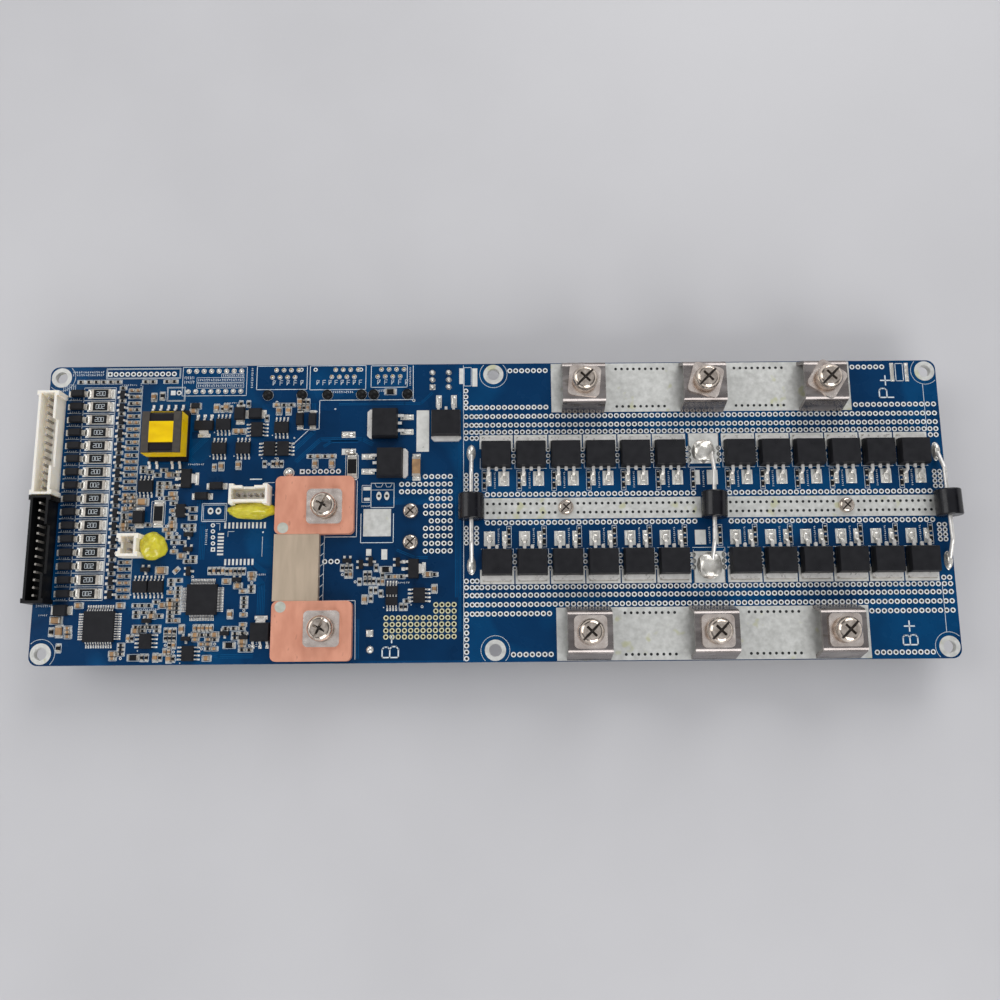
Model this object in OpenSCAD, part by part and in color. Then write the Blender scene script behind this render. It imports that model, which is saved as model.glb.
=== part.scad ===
// Battery management board: a power circuit board with cell headers, a current
// shunt, two rows of power transistors, six screw terminals and a heatsink below.
// Origin: centre of the board on its underside. +X to the diode end, +Z up.

/* [Board] */
// Length of the board along X
board_l = 300; // [280:1:320]
// Width of the board along Y
board_w = 100; // [98:1:110]
// Thickness of the board
board_t = 2; // [1.6:0.1:3]
// Corner radius of the board
board_corner_r = 3; // [1:0.5:3.5]
// Diameter of the mounting holes
mount_hole_d = 4.2; // [3.2:0.1:4.5]
// Distance from each edge to a corner mounting hole
mount_inset = 3.8; // [3.6:0.1:5]
// Radial clearance round pins and pegs in the board
pin_clear = 0.12; // [0.08:0.02:0.2]

/* [Screw terminals] */
// Spacing of the terminals along X
term_pitch = 40; // [30:1:42]
// Place of the middle terminals along X
term_mid_x = 70; // [60:1:80]
// Distance from the board's edge to the row of terminals
term_inset = 9; // [8.9:0.1:12]
// Width of a terminal bracket along X
term_w = 14.2; // [12:0.1:18]
// Depth of a terminal bracket's flat top
term_top = 10; // [9:0.1:12]
// Height of a terminal bracket above the board
term_h = 8; // [7:0.1:12]
// Sheet thickness of the brackets
term_t = 1.2; // [0.8:0.1:1.6]
// Outer bend radius of the brackets
term_bend_r = 2; // [1.8:0.1:3]
// Lean of a bracket's legs from upright, in degrees
term_lean = 15; // [5:1:20]
// Turn of the six terminal washers, upper row first
term_turns = [-6, -16, -33, 0, 0, 0];

/* [Screws] */
// Nominal diameter of the terminal and shunt screws
power_screw_d = 5; // [4:0.5:6]
// Length of a terminal screw under its head
term_screw_len = 8; // [7:0.5:9]
// Side of the square washers on the terminals
term_washer = 10.4; // [9:0.1:12]
// Side of the square washers on the shunt
shunt_washer = 11.6; // [10:0.1:13]
// Thickness of the square washers
washer_t = 1; // [0.6:0.1:1.5]
// Thickness of the split spring washers
spring_t = 1.2; // [0.8:0.1:1.6]
// Height of the square terminal nuts
nut_h = 2.7; // [2:0.1:3]
// Nominal diameter of the heatsink screws
sink_screw_d = 3; // [2.5:0.5:3]
// Radial clearance of a screw in its thread or washer
thread_clear = 0.05; // [0.02:0.01:0.1]

/* [Shunt] */
// Width of the shunt's copper plates along X
shunt_w = 25.8; // [24:0.2:27]
// Length of each copper plate along Y
shunt_plate_l = 19.2; // [17:0.2:20]
// Length of the resistive bridge between the plates
shunt_gap = 21.8; // [18:0.2:22]
// Width of the resistive bridge
shunt_bridge_w = 14.7; // [12:0.1:17]
// Thickness of the copper plates
shunt_t = 3; // [2:0.1:4]
// Place of the shunt's left edge along X
shunt_x = -71.8; // [-74:0.2:-71]
// Place of the shunt's middle along Y
shunt_y = -19.2; // [-19.2:0.2:-17]

/* [Power transistors] */
// Spacing of the transistors along X
fet_pitch = 11.55; // [10.6:0.05:11.7]
// Place of the first transistor's middle along X
fet_x = 0.75; // [0:0.05:2]
// Distance of the transistor rows from the middle of the board
fet_y = 18; // [17:0.1:18.4]
// Width of a transistor's moulded body
fet_w = 9.9; // [9.6:0.1:10.4]
// Length of a transistor's moulded body
fet_l = 8.7; // [8.4:0.1:9.4]
// Height of a transistor's moulded body
fet_h = 4.4; // [4:0.1:4.8]
// Thickness of the metal tab
fet_tab_t = 1.3; // [1:0.1:1.6]
// Length of tab beyond the body
fet_tab_out = 1.6; // [1:0.1:1.8]
// Reach of the leads beyond the body
fet_lead_out = 4.7; // [4:0.1:5.4]

/* [Surge diodes] */
// Diameter of the axial surge diodes
surge_d = 8.4; // [8:0.1:9]
// Length of the axial surge diodes
surge_l = 8.6; // [8:0.1:9.4]
// Diameter of their wires
surge_wire_d = 1.3; // [1:0.1:1.4]
// Distance from the middle of the board to each wire's foot
surge_foot = 18.6; // [17:0.1:19]
// Gap between the diodes and the board
surge_lift = 0.4; // [0.2:0.1:1]

/* [Cell headers] */
// Number of pins in each cell header
cell_pins = 13; // [6:1:13]
// Spacing of the cell header pins
cell_pitch = 2.5; // [2.5:0.1:2.54]
// Width of a header's shroud
header_w = 5.9; // [5.6:0.1:6.4]
// Height of the shroud
header_h = 7; // [7:0.1:9]
// Wall thickness of the shroud
header_wall = 0.8; // [0.6:0.05:0.9]
// Thickness of the shroud's floor
header_floor = 2; // [1.6:0.1:2.4]
// How far the headers stand over the board's left edge
header_over = 0; // [0:0.1:0.6]
// Side of a square pin
pin_side = 0.64; // [0.5:0.02:0.7]

/* [Transformer] */
// Size of the transformer along X
trafo_x = 12.7; // [12:0.1:14]
// Size of the transformer along Y
trafo_y = 13.6; // [12.8:0.1:15]
// Height of the transformer
trafo_h = 9.6; // [8:0.1:11]
// Width of each ferrite side leg
trafo_leg = 2.4; // [2:0.1:2.8]

/* [Underside] */
// Height of the modular jacks below the board
jack_h = 13; // [12:0.1:15]
// Width of a modular jack
jack_w = 15.3; // [15:0.1:15.4]
// Depth of a modular jack along Y
jack_d = 13.6; // [13:0.1:14]
// Diameter of a jack's locating pegs
peg_d = 3.2; // [3:0.05:3.25]
// Thickness of the thermal pad
pad_t = 1; // [0.5:0.1:1.5]
// Thickness of the heatsink's base
sink_base = 5; // [4:0.5:6]
// Thickness of a heatsink fin
fin_t = 1.6; // [1.2:0.1:2]
// Number of heatsink fins
fin_count = 13; // [9:2:15]
// Length of the heatsink along X
sink_l = 180; // [176:1:184]
// Width of the heatsink along Y
sink_w = 70; // [64:1:71]

/* [Hidden] */
$fn = 48;
eps = 0.01;
top = board_t;
mount_x = board_l / 2 - mount_inset;
mount_y = board_w / 2 - mount_inset;
mount_places = [for (sx = [-1, 0, 1], sy = [-1, 1]) [sx * mount_x, sy * mount_y]];

// screw terminals: the upper row is the pack side, the lower row the battery side
term_y = board_w / 2 - term_inset;
term_places = [for (sy = [1, -1], k = [-1, 0, 1]) [term_mid_x + k * term_pitch, sy * term_y]];
term_plate_z = top + term_h;
term_bend_z = term_h - term_bend_r;
bend_ease = 0.02;
term_head_z = term_plate_z + washer_t + spring_t;
washer_corner = 1.6;
spring_split = 0.5;
term_nut_side = 8;
shunt_nut_d = 9.2;
shunt_corner = 1.8;
power_head_r = power_screw_d * 0.82;
power_head_h = power_screw_d * 0.62;
spring_r = power_head_r - 0.3;

// shunt
shunt_top = top + shunt_t;
shunt_plate_y = (shunt_gap + shunt_plate_l) / 2;
shunt_screw_in = 16.3;
shunt_screw_x = shunt_x + shunt_screw_in;
shunt_step = 0.2;
shunt_screw_off = 19.85;
shunt_screws_y = [shunt_y + shunt_screw_off, shunt_y - shunt_screw_off];
shunt_nut_h = 4;
shunt_screw_len = shunt_t + board_t + shunt_nut_h + washer_t + spring_t + 0.6;

// transistors: the seventh place holds the middle surge diode
fet_left = [for (k = [0:5]) fet_x + k * fet_pitch];
fet_right = [for (k = [7:12]) fet_x + k * fet_pitch];
fet_lead_pitch = 2.54;
fet_lead_w = 0.9;
fet_lead_t = 0.5;
fet_lead_rise = fet_tab_t + 0.5;
fet_stub = 1.3;
fet_seat_in = 2;
fet_corner = 0.9;
lead_gap = 0.02;
fet_seat_w = fet_w - 1.4;
surge_places = [-7.5, fet_x + 6 * fet_pitch + 1.7, board_l / 2 - 2];
surge_turns = [0, -2.3, 1.5];
surge_z = top + surge_lift + surge_d / 2;
surge_bend_r = 2;
surge_slope = 30;

// headers
header_l = cell_pitch * (cell_pins - 1) + 4.9;
header_x = -board_l / 2 - header_over + header_w / 2;
header_gap = 0.3;
white_y = 22.3;
black_y = white_y - header_l - header_gap;
pin_below = 1.6;
pin_above = 6.4;
header_flare = 0.6;
header_end = 1.5;
notch_depth = 2.4;
cell_notch = 16;
pin_hole = pin_side + 0.04;
small_h = 6.5;
two_pin_at = [-118.1, -11.8];
two_pin_size = [7.4, 5.75];
two_pin_pitch = 2.5;
five_pin_at = [-79.9, 4.6];
five_pin_size = [12.6, 5.4];
five_pin_pitch = 2;
small_pin_short = 1.4;

// transformer
trafo_at = [-108.15, 24.7];
trafo_leads_back = [-114.3, -111.8, -109.3, -106.9, -104.4];
trafo_leads_front = [-114.6, -112.1, -107, -104.5];
trafo_lead_mid = 25.3;
trafo_lead_w = 0.8;
trafo_lead_out = 2.4;
trafo_base_l = 17.2;
trafo_base = 2;
trafo_end = 0.8;
trafo_dip = 1.2;
trafo_cheek = 2.5;
trafo_sunk = 0.4;
trafo_window = trafo_x - 2 * trafo_leg;
tape_t = 0.15;
trafo_belt_z = 1.2;
trafo_belt_h = 5.4;

// underside jacks and dual in line parts
jack_x = [-70.4, -50.3, -34.75];
jack_y = 42.9;
peg_y = 39.5;
peg_space = 11.43;
jack_row_y = [45.8, 48.3];
jack_row_pitch = 2.54;
jack_pin_side = 0.5;
jack_mouth = [11.9, 8.4, 11];
mouth_off = 0.6;
latch_w = 6.4;
latch_d = 2.2;
peg_out = 0.9;
pin_out = 1;
contact_size = [0.4, 0.35, 8];
contact_pitch = 1.02;
dual_at = [-94.3, 44.6];
dual_ways = 8;
dual_space = 7.62;
dual_pitch = 2.54;
dual_w = 6.4;
dual_h = 3.5;
dual_deep = 4;
dual_leg_z = 2.4;
dual_leg_t = 0.25;
six_at = [-17.9, 44.5];
six_rows = 5.5;
six_size = [8.5, 8.5, 6];

// heatsink below the power section, level with the jacks' faces
sink_x0 = -36;
sink_h = jack_h - pad_t;
sink_places = [[-27.6, -0.6], [-27.6, -11], [23.6, 0.2], [116.2, 0.2]];
sink_head_r = sink_screw_d * 0.85;
sink_head_h = sink_screw_d * 0.62;
fin_step = (sink_w - fin_t) / (fin_count - 1);

// small moulded parts: [x, y, turn]
soic_places = [
    [-98.6, -46.4, 90], [-115.2, -24.9, 0], [-110, -24.9, 0], [-115.3, 8.4, 0],
    [-90.5, 29.3, 0], [-91.6, 21.1, 0], [-83.6, 21.1, 0], [-79.2, 27.4, 90],
    [-71, 28.1, 0], [-74.8, 20.8, 90], [-70.3, 20.8, 90], [-24.6, -28.4, 90],
    [-112.4, -42.4, 90]
];
sot_places = [[-102, 10.9, 90], [-97, 29, 0], [-26.5, -19.7, 90]];
small_diodes = [
    [-91.9, 8.3, 0], [-96.6, 4.9, 0], [-64.9, 30.8, 90], [-60.7, 30.7, 90]
];
wide_diodes = [[-116.9, -2, 90], [-85.1, 32.9, 90], [-79.9, 32.9, 0], [-140.3, -32.3, 0]];
regulators = [[-36.3, 28.9, 90], [-34.5, 15.4, -90], [-15.9, 28.8, 180]];
balance_rows = 16;
balance_pitch = 4.49;
balance_y = 40.4;
balance_diode_x = -139.9;
balance_resistor_x = -132.3;
loose_resistors = [[-110.7, -0.8, 90], [-47.2, 14.6, 90]];
chip_lift = 0.1;
controller_at = [-94.9, -29.2];
monitor_at = [-127.7, -37.6];
capacitor_at = [-25.8, 14.2];
wide_sot_at = [-75.7, -39.8];
short_chip_places = [[-33.5, -26.7, 0], [-33.5, -30.2, 0]];
quad_size = [10, 10, 1.4];
soic_size = [4.9, 3.9, 1.45];
short_chip_size = [3.9, 2.8, 1.2];
sot_size = [6.5, 3.5, 1.6];
wide_sot_size = [6.4, 6.1, 2.2];
small_diode_size = [4.3, 2.6, 2.1];
wide_diode_size = [4.4, 3.6, 2.2];
balance_diode_size = [4.3, 2.5, 2];
resistor_size = [6.4, 3.2, 0.6];

// ---------- shared shapes ----------

// Block centred in X and Y, standing on Z = 0
module block(size) {
    translate([-size[0] / 2, -size[1] / 2, 0])
        cube(size);
}

// Slab with upright rounded corners, centred in X and Y
module rounded_slab(l, w, h, r) {
    block([l, w - 2 * r, h]);
    block([l - 2 * r, w, h]);
    for (sx = [-1, 1], sy = [-1, 1])
        translate([sx * (l / 2 - r), sy * (w / 2 - r), 0])
            cylinder(h = h, r = r);
}

// Moulded block whose four sides draw in by d at the top and by e at the bottom
module moulded(size, d, e) {
    intersection() {
        rotate([90, 0, 0])
            linear_extrude(size[1], center = true)
                draft_outline(size[0], size[2], d, e);
        rotate([90, 0, 90])
            linear_extrude(size[0], center = true)
                draft_outline(size[1], size[2], d, e);
    }
}

// Outline of a moulded block's section, widest at its parting line
module draft_outline(w, h, d, e) {
    part_z = h * 0.45;
    polygon([
        [-w / 2 + e, 0], [w / 2 - e, 0], [w / 2, part_z],
        [w / 2 - d, h], [-w / 2 + d, h], [-w / 2, part_z]
    ]);
}

// Places its children at each [x, y] of a list, at height z
module at_each(places, z) {
    for (p = places)
        translate([p[0], p[1], z])
            children();
}

// Places its children at each [x, y, turn] of a list, at height z
module at_turned(places, z) {
    for (p = places)
        translate([p[0], p[1], z])
            rotate([0, 0, p[2]])
                children();
}

// ---------- board ----------

module circuit_board() {
    color("#0b3f6b")
        difference() {
            rounded_slab(board_l, board_w, board_t, board_corner_r);
            at_each(mount_places, -eps)
                cylinder(h = board_t + 2 * eps, d = mount_hole_d);
            at_each(sink_places, -eps)
                cylinder(h = board_t + 2 * eps, r = sink_screw_d / 2 + 2 * thread_clear);
            for (y = shunt_screws_y)
                translate([shunt_screw_x, y, -eps])
                    cylinder(h = board_t + 2 * eps, r = power_screw_d / 2 + 2 * thread_clear);
            for (x = jack_x, s = [-1, 1])
                translate([x + s * peg_space / 2, peg_y, -eps])
                    cylinder(h = board_t + 2 * eps, r = peg_d / 2 + pin_clear);
            board_pin_holes();
        }
}

// Plated holes for every pin that passes through the board
module board_pin_holes() {
    square_r = pin_side * sqrt(2) / 2 + pin_clear / 2;
    small_r = jack_pin_side * sqrt(2) / 2 + pin_clear / 2;
    for (y = [white_y, black_y], k = [0:cell_pins - 1])
        translate([header_x, cell_y(y, k), -eps])
            cylinder(h = board_t + 2 * eps, r = square_r);
    at_each(small_pin_places(), -eps)
        cylinder(h = board_t + 2 * eps, r = square_r);
    at_each(concat(jack_pin_places(), dual_pin_places(), six_pin_places()), -eps)
        cylinder(h = board_t + 2 * eps, r = small_r);
}

// ---------- screw terminals ----------

// Folded bridge bracket: a flat top on two legs that lean outwards
module terminal_bracket(index) {
    place = term_places[index];
    color("#b9b6a8")
        translate([place[0], place[1], top])
            difference() {
                rotate([90, 0, 90])
                    linear_extrude(term_w, center = true)
                        bracket_section();
                translate([0, 0, term_h - term_t - eps])
                    cylinder(h = term_t + 2 * eps, r = power_screw_d / 2 + 0.3);
            }
}

// Section of the bracket across the board: an outer outline less an inner one
module bracket_section() {
    difference() {
        bracket_outline(term_bend_r, 0);
        bracket_outline(term_bend_r - term_t, -1);
    }
}

// X of a leg's face at height z, a hair inside the tangent of a bend of radius r
function leg_x(r, z) = term_top / 2 + (r - bend_ease) * cos(term_lean)
    + (term_bend_z + (r - bend_ease) * sin(term_lean) - z) * tan(term_lean);

// Trapezium with round upper corners of radius r, down to height low
module bracket_outline(r, low) {
    knee = term_bend_z + (r - bend_ease) * sin(term_lean);
    polygon([
        [-leg_x(r, low), low], [leg_x(r, low), low], [leg_x(r, knee), knee],
        [term_top / 2, term_bend_z + r], [-term_top / 2, term_bend_z + r],
        [-leg_x(r, knee), knee]
    ]);
    for (s = [-1, 1])
        translate([s * term_top / 2, term_bend_z])
            circle(r = r);
}

module terminal_washers() {
    color("#c9c5bd")
        for (k = [0:5])
            translate([term_places[k][0], term_places[k][1], term_plate_z])
                rotate([0, 0, term_turns[k]])
                    square_washer(term_washer);
}

// Square washer with rounded corners and a round hole
module square_washer(side) {
    difference() {
        rounded_slab(side, side, washer_t, washer_corner);
        translate([0, 0, -eps])
            cylinder(h = washer_t + 2 * eps, r = power_screw_d / 2 + 0.2);
    }
}

module terminal_spring_washers() {
    color("#bdb9b2")
        at_each(term_places, term_plate_z + washer_t)
            spring_washer();
}

// Split ring, closed flat under its screw
module spring_washer() {
    difference() {
        cylinder(h = spring_t, r = spring_r);
        translate([0, 0, -eps])
            cylinder(h = spring_t + 2 * eps, r = power_screw_d / 2 + 0.15);
        translate([0, -spring_split / 2, -eps])
            cube([spring_r + 1, spring_split, spring_t + 2 * eps]);
    }
}

module terminal_screws() {
    color("#d8d3c8")
        at_each(term_places, term_head_z)
            pan_screw(power_screw_d, power_head_r, power_head_h, term_screw_len);
}

// Pan-head screw with a cross recess and a slot: head up from Z = 0, shank down
module pan_screw(d, head_r, head_h, len) {
    recess = head_h * 0.6;
    difference() {
        rotate_extrude()
            pan_outline(d / 2, head_r, head_h, len);
        for (a = [45, 135])
            rotate([0, 0, a])
                translate([-head_r * 0.52, -head_r * 0.1, head_h - recess])
                    cube([head_r * 1.04, head_r * 0.2, recess + 1]);
        rotate([0, 0, 45])
            translate([-head_r - 1, -head_r * 0.09, head_h * 0.72])
                cube([2 * head_r + 2, head_r * 0.18, head_h]);
    }
}

// Half outline of a pan-head screw
module pan_outline(shank_r, head_r, head_h, len) {
    edge = head_h * 0.42;
    translate([0, -len])
        square([shank_r, len + edge]);
    square([head_r, edge]);
    translate([0, edge])
        square([head_r - edge, head_h - edge]);
    translate([head_r - edge, edge])
        intersection() {
            shoulder_round(head_h - edge, edge);
            square([edge, head_h - edge]);
        }
}

// Quarter round that fills the head's shoulder
module shoulder_round(rise, run) {
    r = (rise * rise + run * run) / (2 * run);
    translate([run - r, 0])
        circle(r = r);
}

module terminal_nuts() {
    color("#a8a49a")
        at_each(term_places, term_plate_z - term_t - nut_h)
            difference() {
                block([term_nut_side, term_nut_side, nut_h]);
                translate([0, 0, -eps])
                    cylinder(h = nut_h + 2 * eps, r = power_screw_d / 2 + thread_clear);
            }
}

// ---------- shunt ----------

// One copper plate, with its screw's clearance hole
module shunt_plate(side) {
    color("#d9967a")
        difference() {
            translate([shunt_x + shunt_w / 2, shunt_y + side * shunt_plate_y, top])
                rounded_slab(shunt_w, shunt_plate_l, shunt_t, shunt_corner);
            translate([shunt_screw_x, shunt_y + side * shunt_screw_off, top - eps])
                cylinder(h = shunt_t + 2 * eps, r = power_screw_d / 2 + 2 * thread_clear);
        }
}

module shunt_bridge() {
    color("#b5a48e")
        translate([shunt_x, shunt_y - shunt_gap / 2, top])
            cube([shunt_bridge_w, shunt_gap, shunt_t - shunt_step]);
}

module shunt_washers() {
    color("#cfcac2")
        for (y = shunt_screws_y)
            translate([shunt_screw_x, y, shunt_top])
                square_washer(shunt_washer);
}

module shunt_spring_washers() {
    color("#bdb9b2")
        for (y = shunt_screws_y)
            translate([shunt_screw_x, y, shunt_top + washer_t])
                spring_washer();
}

module shunt_screws() {
    color("#d8d3c8")
        for (y = shunt_screws_y)
            translate([shunt_screw_x, y, shunt_top + washer_t + spring_t])
                rotate([0, 0, 20])
                    pan_screw(power_screw_d, power_head_r, power_head_h, shunt_screw_len);
}

module shunt_nuts() {
    color("#b5b1a8")
        for (y = shunt_screws_y)
            translate([shunt_screw_x, y, -shunt_nut_h])
                difference() {
                    cylinder(h = shunt_nut_h, d = shunt_nut_d, $fn = 6);
                    translate([0, 0, -eps])
                        cylinder(h = shunt_nut_h + 2 * eps, r = power_screw_d / 2 + thread_clear);
                }
}

// ---------- power transistors ----------

// Moulded body, tab towards +Y, leads towards -Y, with a seat for the tab below
module power_body() {
    difference() {
        moulded([fet_w, fet_l, fet_h], 0.35, 0.15);
        translate([-fet_seat_w / 2, -fet_l / 2 + fet_seat_in, -eps])
            cube([fet_seat_w, fet_l, fet_tab_t + eps]);
    }
}

// Tab with cut corners and two full leads beside a cropped one
module power_frame() {
    tab_y = fet_l / 2 + fet_tab_out;
    inner_y = -fet_l / 2 + fet_seat_in;
    neck_y = fet_l / 2 + 0.05;
    linear_extrude(fet_tab_t)
        polygon([
            [-fet_seat_w / 2, inner_y], [fet_seat_w / 2, inner_y],
            [fet_seat_w / 2, neck_y], [fet_w / 2, neck_y], [fet_w / 2, tab_y - fet_corner],
            [fet_w / 2 - fet_corner, tab_y], [-fet_w / 2 + fet_corner, tab_y],
            [-fet_w / 2, tab_y - fet_corner], [-fet_w / 2, neck_y], [-fet_seat_w / 2, neck_y]
        ]);
    for (s = [-1, 1])
        translate([s * fet_lead_pitch, -fet_l / 2, 0])
            gull_lead(fet_lead_w, 1.5, fet_lead_out, fet_lead_rise, fet_lead_t);
    translate([-fet_lead_w / 2, -fet_l / 2 - fet_stub, fet_lead_rise])
        cube([fet_lead_w, fet_stub - lead_gap, fet_lead_t]);
}

// Lead that leaves a body at Y = 0, steps down by rise and reaches out along -Y
module gull_lead(w, out, reach, rise, t) {
    foot = out + rise / 2;
    translate([w / 2, 0, 0])
        rotate([90, 0, -90])
            linear_extrude(w)
                polygon([
                    [lead_gap, rise], [out, rise], [foot, 0], [reach, 0],
                    [reach, t], [foot + t * 0.8, t], [out + t * 0.8, rise + t],
                    [lead_gap, rise + t]
                ]);
}

// A run of transistor bodies on one side of the board
module transistor_bodies(xs, side) {
    color("#2b2b2f")
        for (x = xs)
            translate([x, side * fet_y, top])
                rotate([0, 0, side > 0 ? 0 : 180])
                    power_body();
}

module lead_frames(side) {
    color("#c9c8c4")
        for (x = concat(fet_left, fet_right))
            translate([x, side * fet_y, top])
                rotate([0, 0, side > 0 ? 0 : 180])
                    power_frame();
}

module regulators() {
    color("#2a2a2d")
        at_turned(regulators, top)
            power_body();
}

module regulator_frames() {
    color("#c9c8c4")
        at_turned(regulators, top)
            power_frame();
}

// ---------- surge diodes ----------

// Round moulded body with softened rims, its axis along Y
module surge_diode(index) {
    rim = 0.5;
    r = surge_d / 2;
    color("#17161a")
        translate([surge_places[index], 0, surge_z])
            rotate([90, 0, surge_turns[index]])
                rotate_extrude() {
                    translate([0, -surge_l / 2])
                        square([r - rim, surge_l]);
                    translate([0, -surge_l / 2 + rim])
                        square([r, surge_l - 2 * rim]);
                    for (s = [-1, 1])
                        translate([r - rim, s * (surge_l / 2 - rim)])
                            circle(r = rim);
                }
}

module surge_diode_wires() {
    color("#cfcdc8")
        for (k = [0:2], turn = [0, 180])
            translate([surge_places[k], 0, 0])
                rotate([0, 0, surge_turns[k] + turn])
                    surge_wire();
}

// Wire from a diode's end face, through one bend, down to its foot on the board
module surge_wire() {
    r = surge_wire_d / 2;
    drop = surge_z - top - r - surge_bend_r * (1 - cos(surge_slope));
    slope_l = drop / sin(surge_slope);
    bend_y = surge_foot - surge_bend_r * sin(surge_slope) - slope_l * cos(surge_slope);
    translate([0, surge_l / 2, surge_z])
        rotate([-90, 0, 0])
            cylinder(h = bend_y - surge_l / 2, r = r);
    translate([0, bend_y, surge_z - surge_bend_r])
        rotate([0, -90, 0])
            rotate_extrude(angle = surge_slope)
                translate([surge_bend_r, 0])
                    circle(r = r);
    translate([0, surge_foot, top + r])
        rotate([90 - surge_slope, 0, 0])
            cylinder(h = slope_l, r = r);
}

// ---------- headers ----------

function cell_y(middle, k) = middle + (k - (cell_pins - 1) / 2) * cell_pitch;

function small_pin_places() = concat(
    [for (k = [0, 1]) [two_pin_at[0], two_pin_at[1] + (k - 0.5) * two_pin_pitch]],
    [for (k = [0:4]) [five_pin_at[0] + (k - 2) * five_pin_pitch, five_pin_at[1]]]
);

// Open shroud, long along Y: cavity from above, flared ends, notch in its +X wall
module shroud(l, w, h, notch) {
    difference() {
        union() {
            block([w, l, h]);
            for (s = [-1, 1])
                translate([0, s * (l - header_end) / 2, 0])
                    block([w + 2 * header_flare, header_end, h]);
        }
        translate([0, 0, header_floor])
            block([w - 2 * header_wall, l - 2 * header_wall, h]);
        translate([0, -notch / 2, h - notch_depth])
            cube([w, notch, notch_depth + eps]);
    }
}

module cell_header(y) {
    translate([header_x, y, top])
        difference() {
            shroud(header_l, header_w, header_h, cell_notch);
            for (k = [0:cell_pins - 1])
                translate([0, cell_y(0, k), -eps])
                    block([pin_hole, pin_hole, header_floor + 2 * eps]);
        }
}

module cell_header_pins() {
    color("#d9d4c6")
        for (y = [white_y, black_y], k = [0:cell_pins - 1])
            translate([header_x, cell_y(y, k), -pin_below])
                block([pin_side, pin_side, pin_below + top + pin_above]);
}

module two_pin_header() {
    color("#ede6dc")
        difference() {
            translate([two_pin_at[0], two_pin_at[1], top])
                rotate([0, 0, 180])
                    shroud(two_pin_size[0], two_pin_size[1], small_h, 2);
            at_each(small_pin_places(), top - eps)
                block([pin_hole, pin_hole, header_floor + 2 * eps]);
        }
}

module five_pin_header() {
    color("#ede6dc")
        difference() {
            translate([five_pin_at[0], five_pin_at[1], top])
                rotate([0, 0, 90])
                    shroud(five_pin_size[0], five_pin_size[1], small_h, 4);
            at_each(small_pin_places(), top - eps)
                block([pin_hole, pin_hole, header_floor + 2 * eps]);
        }
}

module small_header_pins() {
    color("#d9d4c6")
        at_each(small_pin_places(), -pin_below)
            block([pin_side, pin_side, pin_below + top + small_h - small_pin_short]);
}

// ---------- transformer ----------

// Ferrite ring: two tall side legs joined by low end walls
module transformer_core() {
    color("#5e5a55")
        translate([trafo_at[0], trafo_at[1], top + trafo_base])
            difference() {
                block([trafo_x, trafo_y, trafo_h - trafo_base]);
                translate([0, 0, -eps])
                    block([trafo_window, trafo_y - 2 * trafo_end, trafo_h]);
                translate([0, 0, trafo_h - trafo_base - trafo_dip])
                    block([trafo_window, trafo_y + 1, trafo_h]);
            }
}

// Bobbin: a base plate that carries the leads, and two end cheeks in the core
module transformer_bobbin() {
    cheek_y = trafo_y / 2 - trafo_end - trafo_cheek / 2;
    color("#2a2430") {
        translate([trafo_at[0], trafo_lead_mid, top])
            block([trafo_x, trafo_base_l, trafo_base]);
        for (s = [-1, 1])
            translate([trafo_at[0], trafo_at[1] + s * cheek_y, top + trafo_base])
                block([trafo_window, trafo_cheek, trafo_h - trafo_base - trafo_sunk]);
    }
}

module transformer_winding() {
    color("#e6c800")
        translate([trafo_at[0], trafo_at[1], top + trafo_base])
            block([trafo_window, trafo_y - 2 * (trafo_end + trafo_cheek), trafo_h - trafo_base]);
}

// Thin belt of tape round the four sides of the core
module transformer_tape() {
    color("#e6c800")
        translate([trafo_at[0], trafo_at[1], top + trafo_base + trafo_belt_z])
            difference() {
                block([trafo_x + 2 * tape_t, trafo_y + 2 * tape_t, trafo_belt_h]);
                translate([0, 0, -eps])
                    block([trafo_x, trafo_y, trafo_belt_h + 2 * eps]);
            }
}

// Short leads that step down from both ends of the base to the board
module transformer_leads() {
    color("#cfcdc8") {
        for (x = trafo_leads_back)
            translate([x, trafo_lead_mid + trafo_base_l / 2, top])
                rotate([0, 0, 180])
                    gull_lead(trafo_lead_w, 0.5, trafo_lead_out, 0.8, 0.4);
        for (x = trafo_leads_front)
            translate([x, trafo_lead_mid - trafo_base_l / 2, top])
                gull_lead(trafo_lead_w, 0.5, trafo_lead_out, 0.8, 0.4);
    }
}

// ---------- chips and small parts ----------

module controller_chip() {
    color("#2f2e31")
        translate([controller_at[0], controller_at[1], top + chip_lift])
            moulded(quad_size, 0.15, 0.15);
}

module monitor_chip() {
    color("#2f2e31")
        translate([monitor_at[0], monitor_at[1], top + chip_lift])
            moulded(quad_size, 0.15, 0.15);
}

module small_outline_chips() {
    color("#232326") {
        at_turned(soic_places, top + chip_lift)
            moulded(soic_size, 0.12, 0.12);
        at_turned(short_chip_places, top + chip_lift)
            moulded(short_chip_size, 0.1, 0.1);
    }
}

module tab_regulators() {
    color("#28282b") {
        at_turned(sot_places, top + chip_lift)
            moulded(sot_size, 0.25, 0.1);
        translate([wide_sot_at[0], wide_sot_at[1], top + chip_lift])
            moulded(wide_sot_size, 0.3, 0.1);
    }
}

module board_diodes() {
    color("#26262a") {
        at_turned(small_diodes, top + chip_lift)
            moulded(small_diode_size, 0.25, 0.15);
        at_turned(wide_diodes, top + chip_lift)
            moulded(wide_diode_size, 0.25, 0.15);
    }
}

module balance_diodes() {
    color("#26262a")
        for (k = [0:balance_rows - 1])
            translate([balance_diode_x, balance_y - k * balance_pitch, top + chip_lift])
                moulded(balance_diode_size, 0.25, 0.15);
}

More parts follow.
